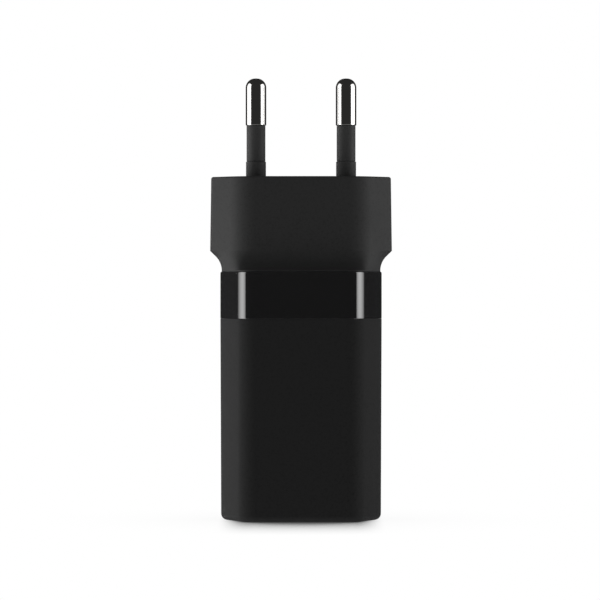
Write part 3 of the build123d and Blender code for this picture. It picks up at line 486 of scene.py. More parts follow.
@effect(
    "Edge polish",
    [("Colour", "Color", BLACK), ("Rubbed colour", "Color", BLACK), ("Roughness", "Float", 0.5),
     ("Rubbed roughness", "Float", 0.3), ("Amount", "Float", 0.5)],
    [("Colour", "Color"), ("Roughness", "Float")],
)
def edge_polish(tree, given):
    """Edges rubbed smoother and paler by handling, in patches, where the mesh says that they are worn."""
    worn = node(tree, "ShaderNodeAttribute", attribute_name="edge").outputs["Fac"]
    patches = remap(tree, noise(tree, 650.0, 3.0), 0.35, 0.65, 0.35, 1.0)
    mask = maths(tree, "MULTIPLY", maths(tree, "MULTIPLY", worn, patches), given["Amount"], clamp=True)
    return {
        "Colour": mixed(tree, mask, given["Colour"], given["Rubbed colour"]),
        "Roughness": between(tree, mask, given["Roughness"], given["Rubbed roughness"]),
    }


@effect(
    "Handling",
    [("Colour", "Color", BLACK), ("Roughness", "Float", 0.5), ("Smudges", "Float", 0.05),
     ("Dust", "Float", 0.02), ("Dust colour", "Color", (0.3, 0.29, 0.27, 1))],
    [("Colour", "Color"), ("Roughness", "Float")],
)
def handling(tree, given):
    """Broad smudges that change the gloss, and a few pale specks of dust, more on faces that look up."""
    smudge = remap(tree, noise(tree, 95.0, 4.0, roughness=0.62), 0.35, 0.7, -1.0, 1.0)
    grains = remap(tree, noise(tree, 2300.0, 1.0), 0.72, 0.80)
    facing = node(
        tree, "ShaderNodeSeparateXYZ", {0: node(tree, "ShaderNodeNewGeometry").outputs["Normal"]}
    ).outputs["Z"]
    upward = remap(tree, facing, -0.2, 1.0, 0.35, 1.6)
    dust = maths(tree, "MULTIPLY", maths(tree, "MULTIPLY", grains, upward), given["Dust"], clamp=True)
    gloss = maths(tree, "MULTIPLY_ADD", smudge, given["Smudges"], given["Roughness"])
    return {
        "Colour": mixed(tree, dust, given["Colour"], given["Dust colour"]),
        "Roughness": maths(tree, "ADD", gloss, maths(tree, "MULTIPLY", dust, 0.4), clamp=True),
    }


@effect(
    "Drawn lines",
    [("Stretch", "Vector", (300.0, 300.0, 9000.0)), ("Roughness", "Float", 0.2),
     ("Spread", "Float", 0.05)],
    [("Height", "Float"), ("Roughness", "Float")],
)
def drawn_lines(tree, given):
    """The fine parallel lines that drawing, rolling or turning leaves, in noise stretched along them."""
    stretched = node(
        tree, "ShaderNodeVectorMath", {0: place(tree), 1: given["Stretch"]}, operation="MULTIPLY"
    ).outputs[0]
    lines = noise(tree, 1.0, 3.0, vector=stretched, roughness=0.6)
    shift = remap(tree, lines, 0.3, 0.7, -1.0, 1.0)
    return {
        "Height": lines,
        "Roughness": maths(tree, "MULTIPLY_ADD", shift, given["Spread"], given["Roughness"]),
    }


@effect(
    "Wound turns",
    [("Along", "Vector", (0.0, 0.0, 1.0)), ("Pitch", "Float", 0.0003), ("Wander", "Float", 0.15)],
    [("Height", "Float"), ("Turn", "Float")],
)
def wound_turns(tree, given):
    """Turns side by side: a row of half circles along a direction, that wander a little."""
    along = node(
        tree, "ShaderNodeVectorMath", {0: place(tree), 1: given["Along"]}, operation="DOT_PRODUCT"
    ).outputs["Value"]
    wander = maths(tree, "MULTIPLY", noise(tree, 260.0, 1.0), given["Wander"])
    turns = maths(tree, "ADD", maths(tree, "DIVIDE", along, given["Pitch"]), wander)
    across = maths(tree, "MULTIPLY_ADD", maths(tree, "FRACT", turns), 2.0, -1.0)
    height = maths(
        tree, "SQRT", maths(tree, "SUBTRACT", 1.0, maths(tree, "MULTIPLY", across, across), clamp=True)
    )
    single = maths(tree, "FLOOR", turns)
    each = node(tree, "ShaderNodeTexWhiteNoise", {"W": single}, noise_dimensions="1D").outputs["Value"]
    return {"Height": height, "Turn": each}


# ---------------------------------------------------------------- finishes
def finish(name, **values):
    """A material with one Principled shader, and its constant values set on it."""
    known = bpy.data.materials.get(name)
    if known:
        bpy.data.materials.remove(known)
    material = bpy.data.materials.new(name)
    material.use_nodes = True
    tree = material.node_tree
    tree.nodes.clear()
    shader = tree.nodes.new("ShaderNodeBsdfPrincipled")
    tree.links.new(shader.outputs[0], tree.nodes.new("ShaderNodeOutputMaterial").inputs[0])
    for key, value in values.items():
        shader.inputs[key.replace("_", " ").title().replace("Ior", "IOR")].default_value = value
    return material, tree, shader


def relief(tree, shader, *layers):
    """Bumps one over another, each a height and how deep it is in metres."""
    normal = None
    for height, depth in layers:
        values = {"Height": height, "Distance": depth, "Strength": 1.0}
        if normal:
            values["Normal"] = normal
        normal = node(tree, "ShaderNodeBump", values).outputs[0]
    tree.links.new(normal, shader.inputs["Normal"])


def surface(tree, shader, colour, roughness):
    """Sets or links a shader's colour and roughness."""
    feed(tree, shader, {"Base Color": colour, "Roughness": roughness})


def touched(tree, shader, colour, roughness, smudges, dust):
    """A shader's colour and roughness, with smudges and dust over them."""
    made = use(tree, handling, {
        "Colour": colour, "Roughness": roughness, "Smudges": smudges, "Dust": dust,
    })
    surface(tree, shader, made["Colour"], made["Roughness"])


def solid(colour, gain=1.0):
    """A setting's colour, lighter or darker, with its alpha."""
    return tuple(min(value * gain, 1.0) for value in colour) + (1.0,)


def moulding(
    name, colour, roughness, gloss, grain=5200.0, depth=6e-6, rub=0.5, smudges=0.03, sheen=0.0
):
    """Injection-moulded plastic with the mould's spark texture, rubbed edges, smudges and dust."""
    material, tree, shader = finish(
        name, specular_ior_level=gloss, sheen_weight=sheen, sheen_roughness=0.3
    )
    texture = use(tree, spark_texture, {"Scale": grain})
    mottled = mixed(tree, texture["Pits"], solid(colour), solid(colour, 0.72))
    edges = use(tree, edge_polish, {
        "Colour": mottled, "Rubbed colour": solid(colour, 1.5), "Roughness": roughness,
        "Rubbed roughness": roughness * 0.62, "Amount": rub,
    })
    touched(tree, shader, edges["Colour"], edges["Roughness"], smudges=smudges, dust=0.02)
    relief(tree, shader, (texture["Height"], depth))
    return material


def metal(name, colour, roughness, stretch, tarnish, dark=None):
    """Bare or plated metal with its drawn or rolled lines and a little tarnish."""
    material, tree, shader = finish(name, metallic=1.0)
    lines = use(tree, drawn_lines, {"Stretch": stretch, "Roughness": roughness, "Spread": 0.05})
    patches = remap(tree, noise(tree, 420.0, 4.0), 0.42, 0.75)
    tarnished = mixed(
        tree, maths(tree, "MULTIPLY", patches, tarnish), solid(colour), solid(dark or colour, 0.55)
    )
    touched(tree, shader, tarnished, lines["Roughness"], smudges=0.02, dust=0.0)
    relief(tree, shader, (lines["Height"], 1.2e-6))
    return material


def dress(material, *names):
    """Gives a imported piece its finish."""
    for name in names:
        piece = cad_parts[name]
        if not piece.material_slots:
            piece.data.materials.append(material)
        for slot in piece.material_slots:
            slot.material = material


# ---------------------------------------------------------------- pieces
class ChargerPiece:
    """What the operators share."""

    bl_options = {"REGISTER", "UNDO"}


class CHARGER_OT_case(ChargerPiece, Operator):
    """Build the textured case with its rounded base and the opening for the socket"""

    bl_idname = "charger.case"
    bl_label = "Case"

    def execute(self, context):
        sizes, looks = context.scene.charger_body, context.scene.charger_finishes
        top = CASE_HIGH.z

        def skin(height, inset=0.0):
            return loop(body_quarter(sizes, sizes.draft * (1 - height / top), inset))

        half = np.array((sizes.socket_width, sizes.socket_height)) / 2
        flare = sizes.socket_chamfer
        opening = loop(box_quarter(*half, sizes.socket_corner))
        mouth = loop(box_quarter(*(half + flare), sizes.socket_corner + flare))
        rebate = sizes.wall - sizes.skirt_wall - sizes.fit_gap
        ledge = top - sizes.skirt - sizes.fit_gap
        corner = 0.4 * MM  # the round inside the floor's edge
        rows = [(mouth, 0.0, 0.6), (opening, flare, 0.2), (opening, sizes.floor, 0.1)]
        rows += [(skin(sizes.floor, sizes.wall + corner - rise), sizes.floor + inset, 0.0)
                 for inset, rise, _ in rounded(corner, 4)]
        rows += [
            (skin(ledge, sizes.wall), ledge, 0.0),
            (skin(ledge, rebate), ledge, 0.0),
            (skin(top, rebate), top, 0.0),
        ]
        rim = rounded(sizes.rim_round, 4)[::-1]
        rows += [(skin(top, inset), top - sizes.rim_round + rise, worn) for inset, rise, worn in rim]
        heights = straight((top - sizes.rim_round, 0), (sizes.base_round, 0), 14)[1:, 0]
        rows += [(skin(height), height, 0.0) for height in heights]
        rows += [(skin(0, inset), sizes.base_round - rise, worn)
                 for inset, rise, worn in rounded(sizes.base_round, 10)]
        beside = 0.25 * MM  # a ring this far inside the round keeps the bottom's shading flat
        rows += [(skin(0, sizes.base_round + beside), 0.0, 0.1)]
        points, wear = levels(*rows)
        material = moulding(
            "Textured black case", looks.case_black, looks.matt_roughness, looks.matt_gloss, sheen=0.025
        )
        build("charger_case_shell", [(points, wear, True)], material, "charger",
              ["main_case"])
        return {"FINISHED"}


class CHARGER_OT_band(ChargerPiece, Operator):
    """Build the polished band and the skirt that holds it in the case"""

    bl_idname = "charger.band"
    bl_label = "Gloss band"

    def execute(self, context):
        sizes, looks = context.scene.charger_body, context.scene.charger_finishes
        low, high, foot = CASE_HIGH.z, BAND_HIGH.z, CASE_HIGH.z - sizes.skirt

        def ring(inset=0.0):
            return loop(body_quarter(sizes, 0.0, inset))

        start = low + sizes.band_groove
        outside = sizes.wall - sizes.skirt_wall
        tall = 1.6  # each edge's round is this many times as tall as it is deep
        beside = 0.1 * MM  # a ring this far inside each round keeps the flat's shading flat
        rows = [(ring(sizes.wall), high, 0.0), (ring(sizes.wall), foot, 0.0), (ring(outside), foot, 0.0),
                (ring(outside), start, 0.0), (ring(sizes.band_round + beside), start, 0.0)]
        rows += [(ring(inset), start + (sizes.band_round - rise) * tall, worn)
                 for inset, rise, worn in rounded(sizes.band_round, 8)[::-1]]
        top = high - sizes.band_top_round * tall
        heights = straight((start + sizes.band_round * tall, 0), (top, 0), 8)[1:, 0]
        rows += [(ring(), height, 0.0) for height in heights]
        rows += [(ring(inset), top + rise * tall, worn)
                 for inset, rise, worn in rounded(sizes.band_top_round, 10)]
        rows += [(ring(sizes.band_top_round + beside), high, 0.0)]
        points, wear = levels(*rows)
        material, tree, shader = finish("Polished black band", specular_ior_level=0.5, ior=1.9)
        swirl = noise(tree, 160.0, 3.0)
        scratches = use(tree, drawn_lines, {
            "Stretch": (500.0, 500.0, 6500.0), "Roughness": looks.gloss_roughness, "Spread": 0.012,
        })
        edges = use(tree, edge_polish, {
            "Colour": solid(looks.gloss_black), "Rubbed colour": solid(looks.gloss_black, 2.5),
            "Roughness": scratches["Roughness"], "Rubbed roughness": 0.16, "Amount": 0.6,
        })
        touched(tree, shader, edges["Colour"], edges["Roughness"], smudges=0.02, dust=0.03)
        relief(tree, shader, (swirl, 4e-6))
        build("polished_band", [(points, wear, True)], material, "charger",
              ["gloss_band"])
        return {"FINISHED"}


class CHARGER_OT_head(ChargerPiece, Operator):
    """Build the plug head's shell with its coves, its hollow inside and the holes for the collars"""

    bl_idname = "charger.head"
    bl_label = "Plug head"

    def execute(self, context):
        body, sizes = context.scene.charger_body, context.scene.charger_head
        looks = context.scene.charger_finishes
        low, high = HEAD_LOW.z, HEAD_HIGH.z
        ceiling = CARRIER_LOW.z + CARRIER_HEIGHT
        cove_low = low + sizes.neck_rim
        cove_high = cove_low + sizes.cove
        plug = loop(plug_quarter(sizes))
        neck = on_rays(plug, loop(neck_quarter(body, sizes)))
        cavity = loop(cavity_quarter(sizes))
        recess = recess_around(cavity, loop(body_quarter(body, 0.0, sizes.plate_inset)))
        plate = low + sizes.plate
        rows = [(cavity, ceiling, 0.0), (cavity, plate, 0.0), (recess, plate, 0.0), (recess, low, 0.0)]
        lip = 0.03 * MM  # the round on the neck's rim
        rim_width = 0.6 * MM
        beside = 0.15 * MM  # a ring this far inside the round keeps the top's shading flat
        rim = BAND_HIGH.z + sizes.rim_gap
        inside = on_rays(plug, loop(neck_quarter(body, sizes, rim_width)))
        rows += [(inside, low, 0.0), (inside, rim, 0.0)]
        rows += [(on_rays(plug, loop(neck_quarter(body, sizes, inset))), rim + lip - rise, worn)
                 for inset, rise, worn in rounded(lip, 3)[::-1]]
        below = 0.02 * MM  # a ring this far under the coves keeps the neck's shading upright
        rows += [(neck, cove_low - below, 0.0)]
        for step in np.linspace(0, 1, COVE_ROWS):
            sides, faces = cove_shares(sizes, step)
            section = neck + (plug - neck) * np.array((sides, faces))
            rows.append((section, cove_low + step * sizes.cove, 0.0))
        top = high - sizes.top_round
        for height in straight((cove_high, 0), (top, 0), 12)[1:, 0]:
            rows.append((loop(plug_quarter(sizes, drafted(sizes, height))), height, 0.0))
        rows += [(loop(plug_quarter(sizes, drafted(sizes, top), inset)), top + rise, worn)
                 for inset, rise, worn in rounded(sizes.top_round, 7)]
        inner = loop(plug_quarter(sizes, drafted(sizes, top), sizes.top_round + beside))
        rows += [(inner, high, 0.0)]
        surfaces = [(*levels(*rows), False)]
        radius = sizes.collar_radius + sizes.collar_gap
        lead = 0.03 * MM  # the chamfer round each hole
        around = 0.8 * MM  # a ring this far out keeps the top's shading flat
        for ring, inside, centre in zip(halves(inner), halves(cavity), PIN_AXES):
            hole = circle_facing(ring, centre, radius)
            wide = circle_facing(ring, centre, radius + lead)
            middle = circle_facing(ring, centre, radius + around)
            rows = [(ring, high, 0.0), (middle, high, 0.0), (wide, high, 0.3), (hole, high - lead, 0.2),
                    (hole, ceiling, 0.0), (inside, ceiling, 0.0)]
            surfaces.append((*levels(*rows), False))
        material = moulding("Textured black plug", looks.head_black, 0.6, 0.22, rub=0.6)
        build("plug_head_shell", surfaces, material, "plug_head", ["head_shell"])
        return {"FINISHED"}


def drafted(sizes, height):
    """How far the plug's sides have come in at a height, evenly from the coves to the top."""
    cove_high = HEAD_LOW.z + sizes.neck_rim + sizes.cove
    return sizes.draft * (height - cove_high) / (HEAD_HIGH.z - cove_high)


def neck_quarter(body, sizes, inset=0.0):
    """The body's outline, drawn in by the neck's step, with its side round kept."""
    return body_quarter(body, sizes.neck_step, inset)


def side_cove(sizes, height):
    """How far a side cove has come out at a height: an arc from upright to 45 degrees, the radius less
    the square root of the radius squared less the height squared, and then one across for one up."""
    turn = sizes.cove_radius * np.sin(radians(45))
    arc_part = sizes.cove_radius - np.sqrt(sizes.cove_radius**2 - min(height, turn) ** 2)
    return arc_part + max(height - turn, 0.0)


def cove_shares(sizes, way):
    """How far the sides and the faces have moved from neck to plug, part way up. The faces' share is one
    minus the square root of one minus a squared share of the sine of 60 degrees, turned over."""
    sides = side_cove(sizes, way * sizes.cove) / side_cove(sizes, sizes.cove)
    sweep = np.sin(radians(60))
    full = 1 - np.sqrt(1 - sweep**2)
    faces = 1 - (1 - np.sqrt(1 - (sweep * (1 - way)) ** 2)) / full
    return sides, faces


def on_rays(first, second):
    """The second outline, with its points on the rays from the middle to the first one's: the distance
    at each angle is read between its own points."""
    angle = np.arctan2(first[:, 1], first[:, 0])
    other = np.arctan2(second[:, 1], second[:, 0])
    order = np.argsort(other)
    reach = np.interp(angle, other[order], np.hypot(*second[order].T), period=2 * pi)
    return first * (reach / np.hypot(*first.T))[:, None]


def recess_around(cavity, recess):
    """The outline of two spaces together: the further from the middle of the two on each ray."""
    other = on_rays(cavity, recess)
    further = np.hypot(*other.T) > np.hypot(*cavity.T)
    return np.where(further[:, None], other, cavity)


class CHARGER_OT_carrier(ChargerPiece, Operator):
    """Build the carrier inside the plug, with the two collars that stand out of its top"""

    bl_idname = "charger.carrier"
    bl_label = "Pin carrier"

    def execute(self, context):
        sizes, looks = context.scene.charger_head, context.scene.charger_finishes
        low, high, top = CARRIER_LOW.z, CARRIER_LOW.z + CARRIER_HEIGHT, CARRIER_HIGH.z
        gap = 0.1 * MM  # round the carrier, inside the plug
        edge = 0.11 * MM  # the round on each collar's edge
        outline = loop(cavity_quarter(sizes, gap))
        surfaces = [(*levels((outline, low, 0.0), (outline, high, 0.0)), False)]
        middle = (low + high) / 2
        flange = sizes.flange_height / 2
        bore, groove, collar = sizes.shank_radius, sizes.flange_radius, sizes.collar_radius
        for ring, centre in zip(halves(outline), PIN_AXES):
            profile = [(collar, high, 0.0)]
            profile += [(collar, height, 0.0)
                        for height in straight((high, 0), (top - edge, 0), 8)[1:, 0]]
            profile += [(collar - inset, top - edge + rise, 0.0) for inset, rise, _ in rounded(edge, 4)]
            profile += [(bore, top, 0.0), (bore, middle + flange, 0.0), (groove, middle + flange, 0.0),
                        (groove, middle - flange, 0.0), (bore, middle - flange, 0.0), (bore, low, 0.0)]
            rows = [(ring, high, 0.0)]
            rows += [(circle_facing(ring, centre, radius), height, worn)
                     for radius, height, worn in profile]
            rows += [(ring, low, 0.0)]
            surfaces.append((*levels(*rows), False))
        material = moulding(
            "Smooth black carrier", looks.sleeve_black, 0.6, 0.12, grain=6500.0, depth=3e-6, rub=0.4
        )
        build("pin_carrier_moulding", surfaces, material, "plug_head",
              ["pin_carrier"])
        return {"FINISHED"}


class CHARGER_OT_pins(ChargerPiece, Operator):
    """Turn the two plated pins, with their rounded tips, shanks and flanges"""

    bl_idname = "charger.pins"
    bl_label = "Mains pins"

    def execute(self, context):
        sizes, looks = context.scene.charger_head, context.scene.charger_finishes
        bare, tip, foot = SLEEVE_HIGH.z, PIN_HIGH.z, PIN_LOW.z
        flange_middle = CARRIER_LOW.z + CARRIER_HEIGHT / 2
        flange = sizes.flange_height / 2
        lip = 0.18 * MM  # the round where the bare metal starts
        shoulder = tip - sizes.tip_round
        shank, wide = sizes.shank_radius, sizes.flange_radius
        profile = [(0.0, foot, 0.0), (shank, foot, 0.0), (shank, flange_middle - flange, 0.0),
                   (wide, flange_middle - flange, 0.0), (wide, flange_middle + flange, 0.0),
                   (shank, flange_middle + flange, 0.0), (shank, bare, 0.0)]
        profile += [(sizes.pin_radius - inset, bare + lip - rise, worn)
                    for inset, rise, worn in rounded(lip, 4)[::-1]]
        profile += [(sizes.pin_radius, height, 0.0)
                    for height in straight((bare + lip, 0), (shoulder, 0), 14)[1:, 0]]
        profile += [(sizes.pin_radius - inset, shoulder + rise, worn)
                    for inset, rise, worn in rounded(sizes.tip_round, 22)]
        profile += [(0.0, tip, 0.3)]
        material, tree, shader = finish("Nickel-plated pins", metallic=1.0)
        lines = use(tree, drawn_lines, {
            "Stretch": (260.0, 260.0, 14000.0), "Roughness": looks.plating_roughness, "Spread": 0.025,
        })
        scuffs = use(tree, drawn_lines, {
            "Stretch": (7000.0, 7000.0, 160.0), "Roughness": 0.0, "Spread": 1.0,
        })
        rubbed = remap(tree, scuffs["Height"], 0.62, 0.78)
        colour = mixed(tree, maths(tree, "MULTIPLY", rubbed, 0.18), solid(looks.plating),
                       solid(looks.plating, 0.62))
        edges = use(tree, edge_polish, {
            "Colour": colour, "Rubbed colour": solid(looks.plating, 0.9),
            "Roughness": maths(tree, "MULTIPLY_ADD", rubbed, 0.05, lines["Roughness"]),
            "Rubbed roughness": 0.16, "Amount": 0.7,
        })
        surface(tree, shader, edges["Colour"], edges["Roughness"])
        relief(tree, shader, (lines["Height"], 0.7e-6))
        pair("turned_pin", "mains_pin", profile, False, material)
        return {"FINISHED"}


class CHARGER_OT_sleeves(ChargerPiece, Operator):
    """Build the insulating sleeve round each pin"""

    bl_idname = "charger.sleeves"
    bl_label = "Insulating sleeves"

    def execute(self, context):
        sizes, looks = context.scene.charger_head, context.scene.charger_finishes
        low, high = SLEEVE_LOW.z, SLEEVE_HIGH.z
        outer, inner = sizes.sleeve_radius, sizes.shank_radius
        lip, foot = 0.1 * MM, 0.2 * MM  # the rounds at the top and at the collar
        profile = [(inner, high, 0.0), (inner, low, 0.0)]
        profile += [(outer - inset, low + foot - rise, worn)
                    for inset, rise, worn in rounded(foot, 4)[::-1]]
        profile += [(outer, height, 0.0)
                    for height in straight((low + foot, 0), (high - lip, 0), 12)[1:, 0]]
        profile += [(outer - inset, high - lip + rise, worn) for inset, rise, worn in rounded(lip, 3)]
        material = moulding(
            "Black nylon sleeves", looks.sleeve_black, 0.55, 0.12, grain=7500.0, depth=2e-6, rub=0.5,
            smudges=0.05,
        )
        pair("nylon_sleeve", "pin_sleeve", profile, True, material)
        return {"FINISHED"}


class CHARGER_OT_inlet(ChargerPiece, Operator):
    """Finish the inlet between body and head: block, base plate, blades, clips and springs"""

    bl_idname = "charger.inlet"
    bl_label = "Inlet and contacts"

    def execute(self, context):
        looks = context.scene.charger_finishes
        dress(moulding("Black inlet moulding", looks.case_black, 0.45, 0.4, grain=6000.0, depth=4e-6),
              "inlet_block", "head_base")
        dress(metal("Plated bronze contacts", (0.72, 0.52, 0.30), 0.26, (300.0, 5200.0, 300.0),
                    tarnish=0.35, dark=(0.45, 0.25, 0.12)),
              "inlet_blade_left", "inlet_blade_right", "contact_clip_left", "contact_clip_right")
        dress(metal("Blued spring steel", (0.42, 0.43, 0.46), 0.3, (4200.0, 300.0, 300.0), tarnish=0.3),
              "retaining_springs")
        return {"FINISHED"}


class CHARGER_OT_socket(ChargerPiece, Operator):
    """Finish the USB socket: folded shell, tongue and contacts"""

    bl_idname = "charger.socket"
    bl_label = "USB socket"

    def execute(self, context):
        dress(metal("Nickel-plated socket shell", (0.63, 0.62, 0.60), 0.24, (260.0, 260.0, 5200.0),
                    tarnish=0.2), "usb_shell")
        dress(moulding("Black socket tongue", (0.012, 0.012, 0.013), 0.4, 0.45, grain=6500.0, depth=3e-6),
              "usb_tongue")
        dress(metal("Gold-plated contacts", (0.94, 0.68, 0.30), 0.18, (4800.0, 300.0, 300.0),
                    tarnish=0.12, dark=(0.7, 0.42, 0.16)), "usb_contacts")
        return {"FINISHED"}


class CHARGER_OT_board(ChargerPiece, Operator):
    """Finish the circuit board and every component on it"""

    bl_idname = "charger.board"
    bl_label = "Circuit board"

    def execute(self, context):
        dress(laminate(), "main_board")
        dress(moulding("Grey ferrite", (0.045, 0.043, 0.042), 0.55, 0.5, grain=2600.0, depth=14e-6,
                       rub=0), "transformer_core", "input_choke_core")
        dress(moulding("Bobbin phenolic", (0.022, 0.014, 0.010), 0.48, 0.4, grain=3800.0, rub=0),
              "transformer_bobbin")
        dress(copper_wire(), "transformer_winding", "input_choke_winding")
        dress(polyester_tape(), "transformer_tape")
        dress(metal("Drawn aluminium cans", (0.82, 0.82, 0.83), 0.3, (300.0, 4800.0, 300.0),
                    tarnish=0.12), "mains_capacitor_cans", "output_capacitor_cans")
        dress(shrunk_sleeve(), "mains_capacitor_sleeves", "output_capacitor_sleeves")
        dress(moulding("Rubber bungs", (0.020, 0.019, 0.018), 0.72, 0.25, grain=1900.0, depth=12e-6,
                       rub=0), "mains_capacitor_bungs", "output_capacitor_bungs")
        dress(moulding("Moulded fuse body", (0.16, 0.055, 0.018), 0.4, 0.5, grain=3200.0, rub=0),
              "mains_fuse")
        dress(dipped_ceramic(), "safety_capacitor")
        dress(insulation_film(), "insulation_sheet")
        dress(moulding("Epoxy chip bodies", (0.016, 0.016, 0.017), 0.5, 0.45, depth=9e-6, rub=0),
              "controller_chip", "output_chip", "bridge_rectifier")
        dress(moulding("Fired ceramic chips", (0.30, 0.24, 0.17), 0.42, 0.5, grain=6200.0, rub=0),
              "small_parts")
        dress(solder_alloy(), "solder_joints")
        return {"FINISHED"}


def laminate():
    """Green board: solder mask over copper tracks, with the glass weave just showing through."""
    material, tree, shader = finish("Green laminate", specular_ior_level=0.5)
    cells = node(tree, "ShaderNodeTexBrick", {
        "Vector": node(tree, "ShaderNodeMapping", {
            "Vector": place(tree), "Rotation": (radians(90), 0, 0),
        }).outputs[0],
        "Scale": 210.0, "Mortar Size": 0.035, "Mortar Smooth": 0.2, "Brick Width": 0.8,
        "Row Height": 0.42,
    }).outputs["Fac"]
    weave = maths(
        tree, "MULTIPLY",
        use(tree, wound_turns, {"Along": (1.0, 0.0, 0.0), "Pitch": 0.0005, "Wander": 0.1})["Height"],
        use(tree, wound_turns, {"Along": (0.0, 0.0, 1.0), "Pitch": 0.0005, "Wander": 0.1})["Height"],
    )
    copper = remap(tree, cells, 0.2, 0.8)
    mask = mixed(tree, copper, (0.006, 0.085, 0.030, 1), (0.016, 0.17, 0.055, 1))
    woven = mixed(tree, maths(tree, "MULTIPLY", weave, 0.35), mask, (0.012, 0.12, 0.045, 1))
    surface(tree, shader, woven, remap(tree, weave, 0.0, 1.0, 0.30, 0.24))
    relief(tree, shader, (copper, 2.5e-5), (weave, 3e-6))
    return material


def copper_wire():
    """Enamelled wire, turn by turn, with painted shade darkening it towards the grooves between turns."""
    material, tree, shader = finish("Enamelled copper wire", metallic=1.0, coat_weight=0.6,
                                    coat_roughness=0.15)
    turns = use(tree, wound_turns, {"Along": (0.0, 1.0, 0.0), "Pitch": 0.00028, "Wander": 0.3})
    each = mixed(tree, turns["Turn"], (0.62, 0.20, 0.07, 1), (0.78, 0.30, 0.11, 1))
    # painted shade: the colour darkens to dark brown towards the grooves between turns, where shade falls
    shaded = mixed(tree, remap(tree, turns["Height"], 0.0, 0.6), (0.10, 0.03, 0.012, 1), each)
    surface(tree, shader, shaded, remap(tree, turns["Height"], 0.0, 1.0, 0.42, 0.24))
    relief(tree, shader, (turns["Height"], 9e-5))
    return material


def polyester_tape():
    """Yellow tape in overlapping wraps, its gloss varying in clouds."""
    material, tree, shader = finish("Yellow polyester tape", specular_ior_level=0.5)
    wraps = use(tree, wound_turns, {"Along": (0.0, 1.0, 0.0), "Pitch": 0.0031, "Wander": 0.05})
    cloudy = remap(tree, noise(tree, 380.0, 4.0), 0.3, 0.7)
    base = mixed(tree, cloudy, (0.78, 0.42, 0.02, 1), (0.88, 0.55, 0.05, 1))
    layered = mixed(tree, maths(tree, "MULTIPLY", wraps["Turn"], 0.3), base, (0.62, 0.33, 0.015, 1))
    surface(tree, shader, layered, remap(tree, cloudy, 0.0, 1.0, 0.26, 0.4))
    relief(tree, shader, (wraps["Height"], 4e-5), (noise(tree, 900.0, 2.0), 1.5e-5))
    return material


def shrunk_sleeve():
    """Dark shrunk film on the capacitors, a little orange-peeled, with the minus side's pale stripe."""
    material, tree, shader = finish("Shrunk capacitor sleeve", specular_ior_level=0.5)
    across = node(tree, "ShaderNodeSeparateXYZ", {0: place(tree)}).outputs["X"]
    stripe = remap(tree, maths(tree, "ABSOLUTE", across), 10.1 * MM, 10.3 * MM)
    peel = noise(tree, 1500.0, 2.0)
    colour = mixed(tree, stripe, (0.014, 0.012, 0.035, 1), (0.30, 0.31, 0.34, 1))
    touched(tree, shader, colour, 0.24, smudges=0.04, dust=0.02)
    relief(tree, shader, (peel, 1.2e-5))
    return material


def dipped_ceramic():
    """Blue dipped coating, thick and slightly uneven."""
    material, tree, shader = finish("Dipped blue coating", specular_ior_level=0.5, coat_weight=0.4,
                                    coat_roughness=0.12)
    runs = noise(tree, 420.0, 3.0)
    depth = remap(tree, runs, 0.35, 0.7)
    colour = mixed(tree, depth, (0.012, 0.075, 0.24, 1), (0.020, 0.11, 0.33, 1))
    surface(tree, shader, colour, remap(tree, runs, 0.3, 0.7, 0.34, 0.24))
    relief(tree, shader, (runs, 6e-5))
    return material


def insulation_film():
    """Fish paper: a pale grey pressed board with short fibres."""
    material, tree, shader = finish("Pressed insulation sheet", specular_ior_level=0.35)
    fibres = use(tree, drawn_lines, {
        "Stretch": (2600.0, 2600.0, 420.0), "Roughness": 0.62, "Spread": 0.08,
    })
    colour = mixed(tree, fibres["Height"], (0.20, 0.19, 0.16, 1), (0.42, 0.40, 0.35, 1))
    surface(tree, shader, colour, fibres["Roughness"])
    relief(tree, shader, (fibres["Height"], 8e-6))
    return material


def solder_alloy():
    """Bright solder with a frosted grain where it cooled last."""
    material, tree, shader = finish("Tinned solder", metallic=1.0)
    grains = node(
        tree, "ShaderNodeTexVoronoi", {"Vector": place(tree), "Scale": 2400.0}
    ).outputs["Distance"]
    frost = remap(tree, noise(tree, 700.0, 2.0), 0.45, 0.7)
    colour = mixed(tree, frost, (0.78, 0.78, 0.77, 1), (0.56, 0.56, 0.55, 1))
    surface(tree, shader, colour, remap(tree, frost, 0.0, 1.0, 0.18, 0.42))
    relief(tree, shader, (grains, 1.5e-5))
    return material


# ---------------------------------------------------------------- studio
def softbox(name, place_at, turn, tall, deep, radiance, wire=None):
    """A one-sided rectangular light that the camera doesn't see: its power is the radiance times pi times
    its area."""
    data = bpy.data.lights.new(name, "AREA")
    data.shape, data.size, data.size_y = "RECTANGLE", tall, deep
    data.energy = radiance * pi * tall * deep
    lamp = bpy.data.objects.new(name, data)
    lamp.location, lamp.rotation_euler = place_at, turn
    lamp.visible_camera = False
    bpy.context.scene.collection.objects.link(lamp)
    if wire:
        data.use_nodes = True
        wire(data.node_tree)
    return lamp


# The softboxes at the sides: which side, how high their middle is and how tall they are.
SIDE_LIGHTS = (("left_softbox", -1, 0.03, 0.88), ("right_softbox", 1, 0.16, 0.52))
# The lights behind the sides: which side, and what share of their setting they have.
RIM_LIGHTS = (("left_rim_light", -1, 1.0), ("right_rim_light", 1, 0.35))

# How bright the softboxes are across their depth, front to back.
FALL_OFF = (
    (0.0, 0.48), (0.121, 0.68), (0.25, 0.93), (0.363, 1.0), (0.51, 0.90), (0.615, 0.73), (0.752, 0.50),
    (0.92, 0.20), (1.0, 0.12),
)

# How bright the floor's glow is for how open it is to the room: a painted shadow.
SHADOW = (
    (0.0, 0.02), (0.45, 0.065), (0.539, 0.11), (0.651, 0.188), (0.723, 0.355), (0.791, 0.50),
    (0.823, 0.612), (0.896, 0.79), (0.939, 0.90), (0.984, 0.975), (1.0, 1.0),
)


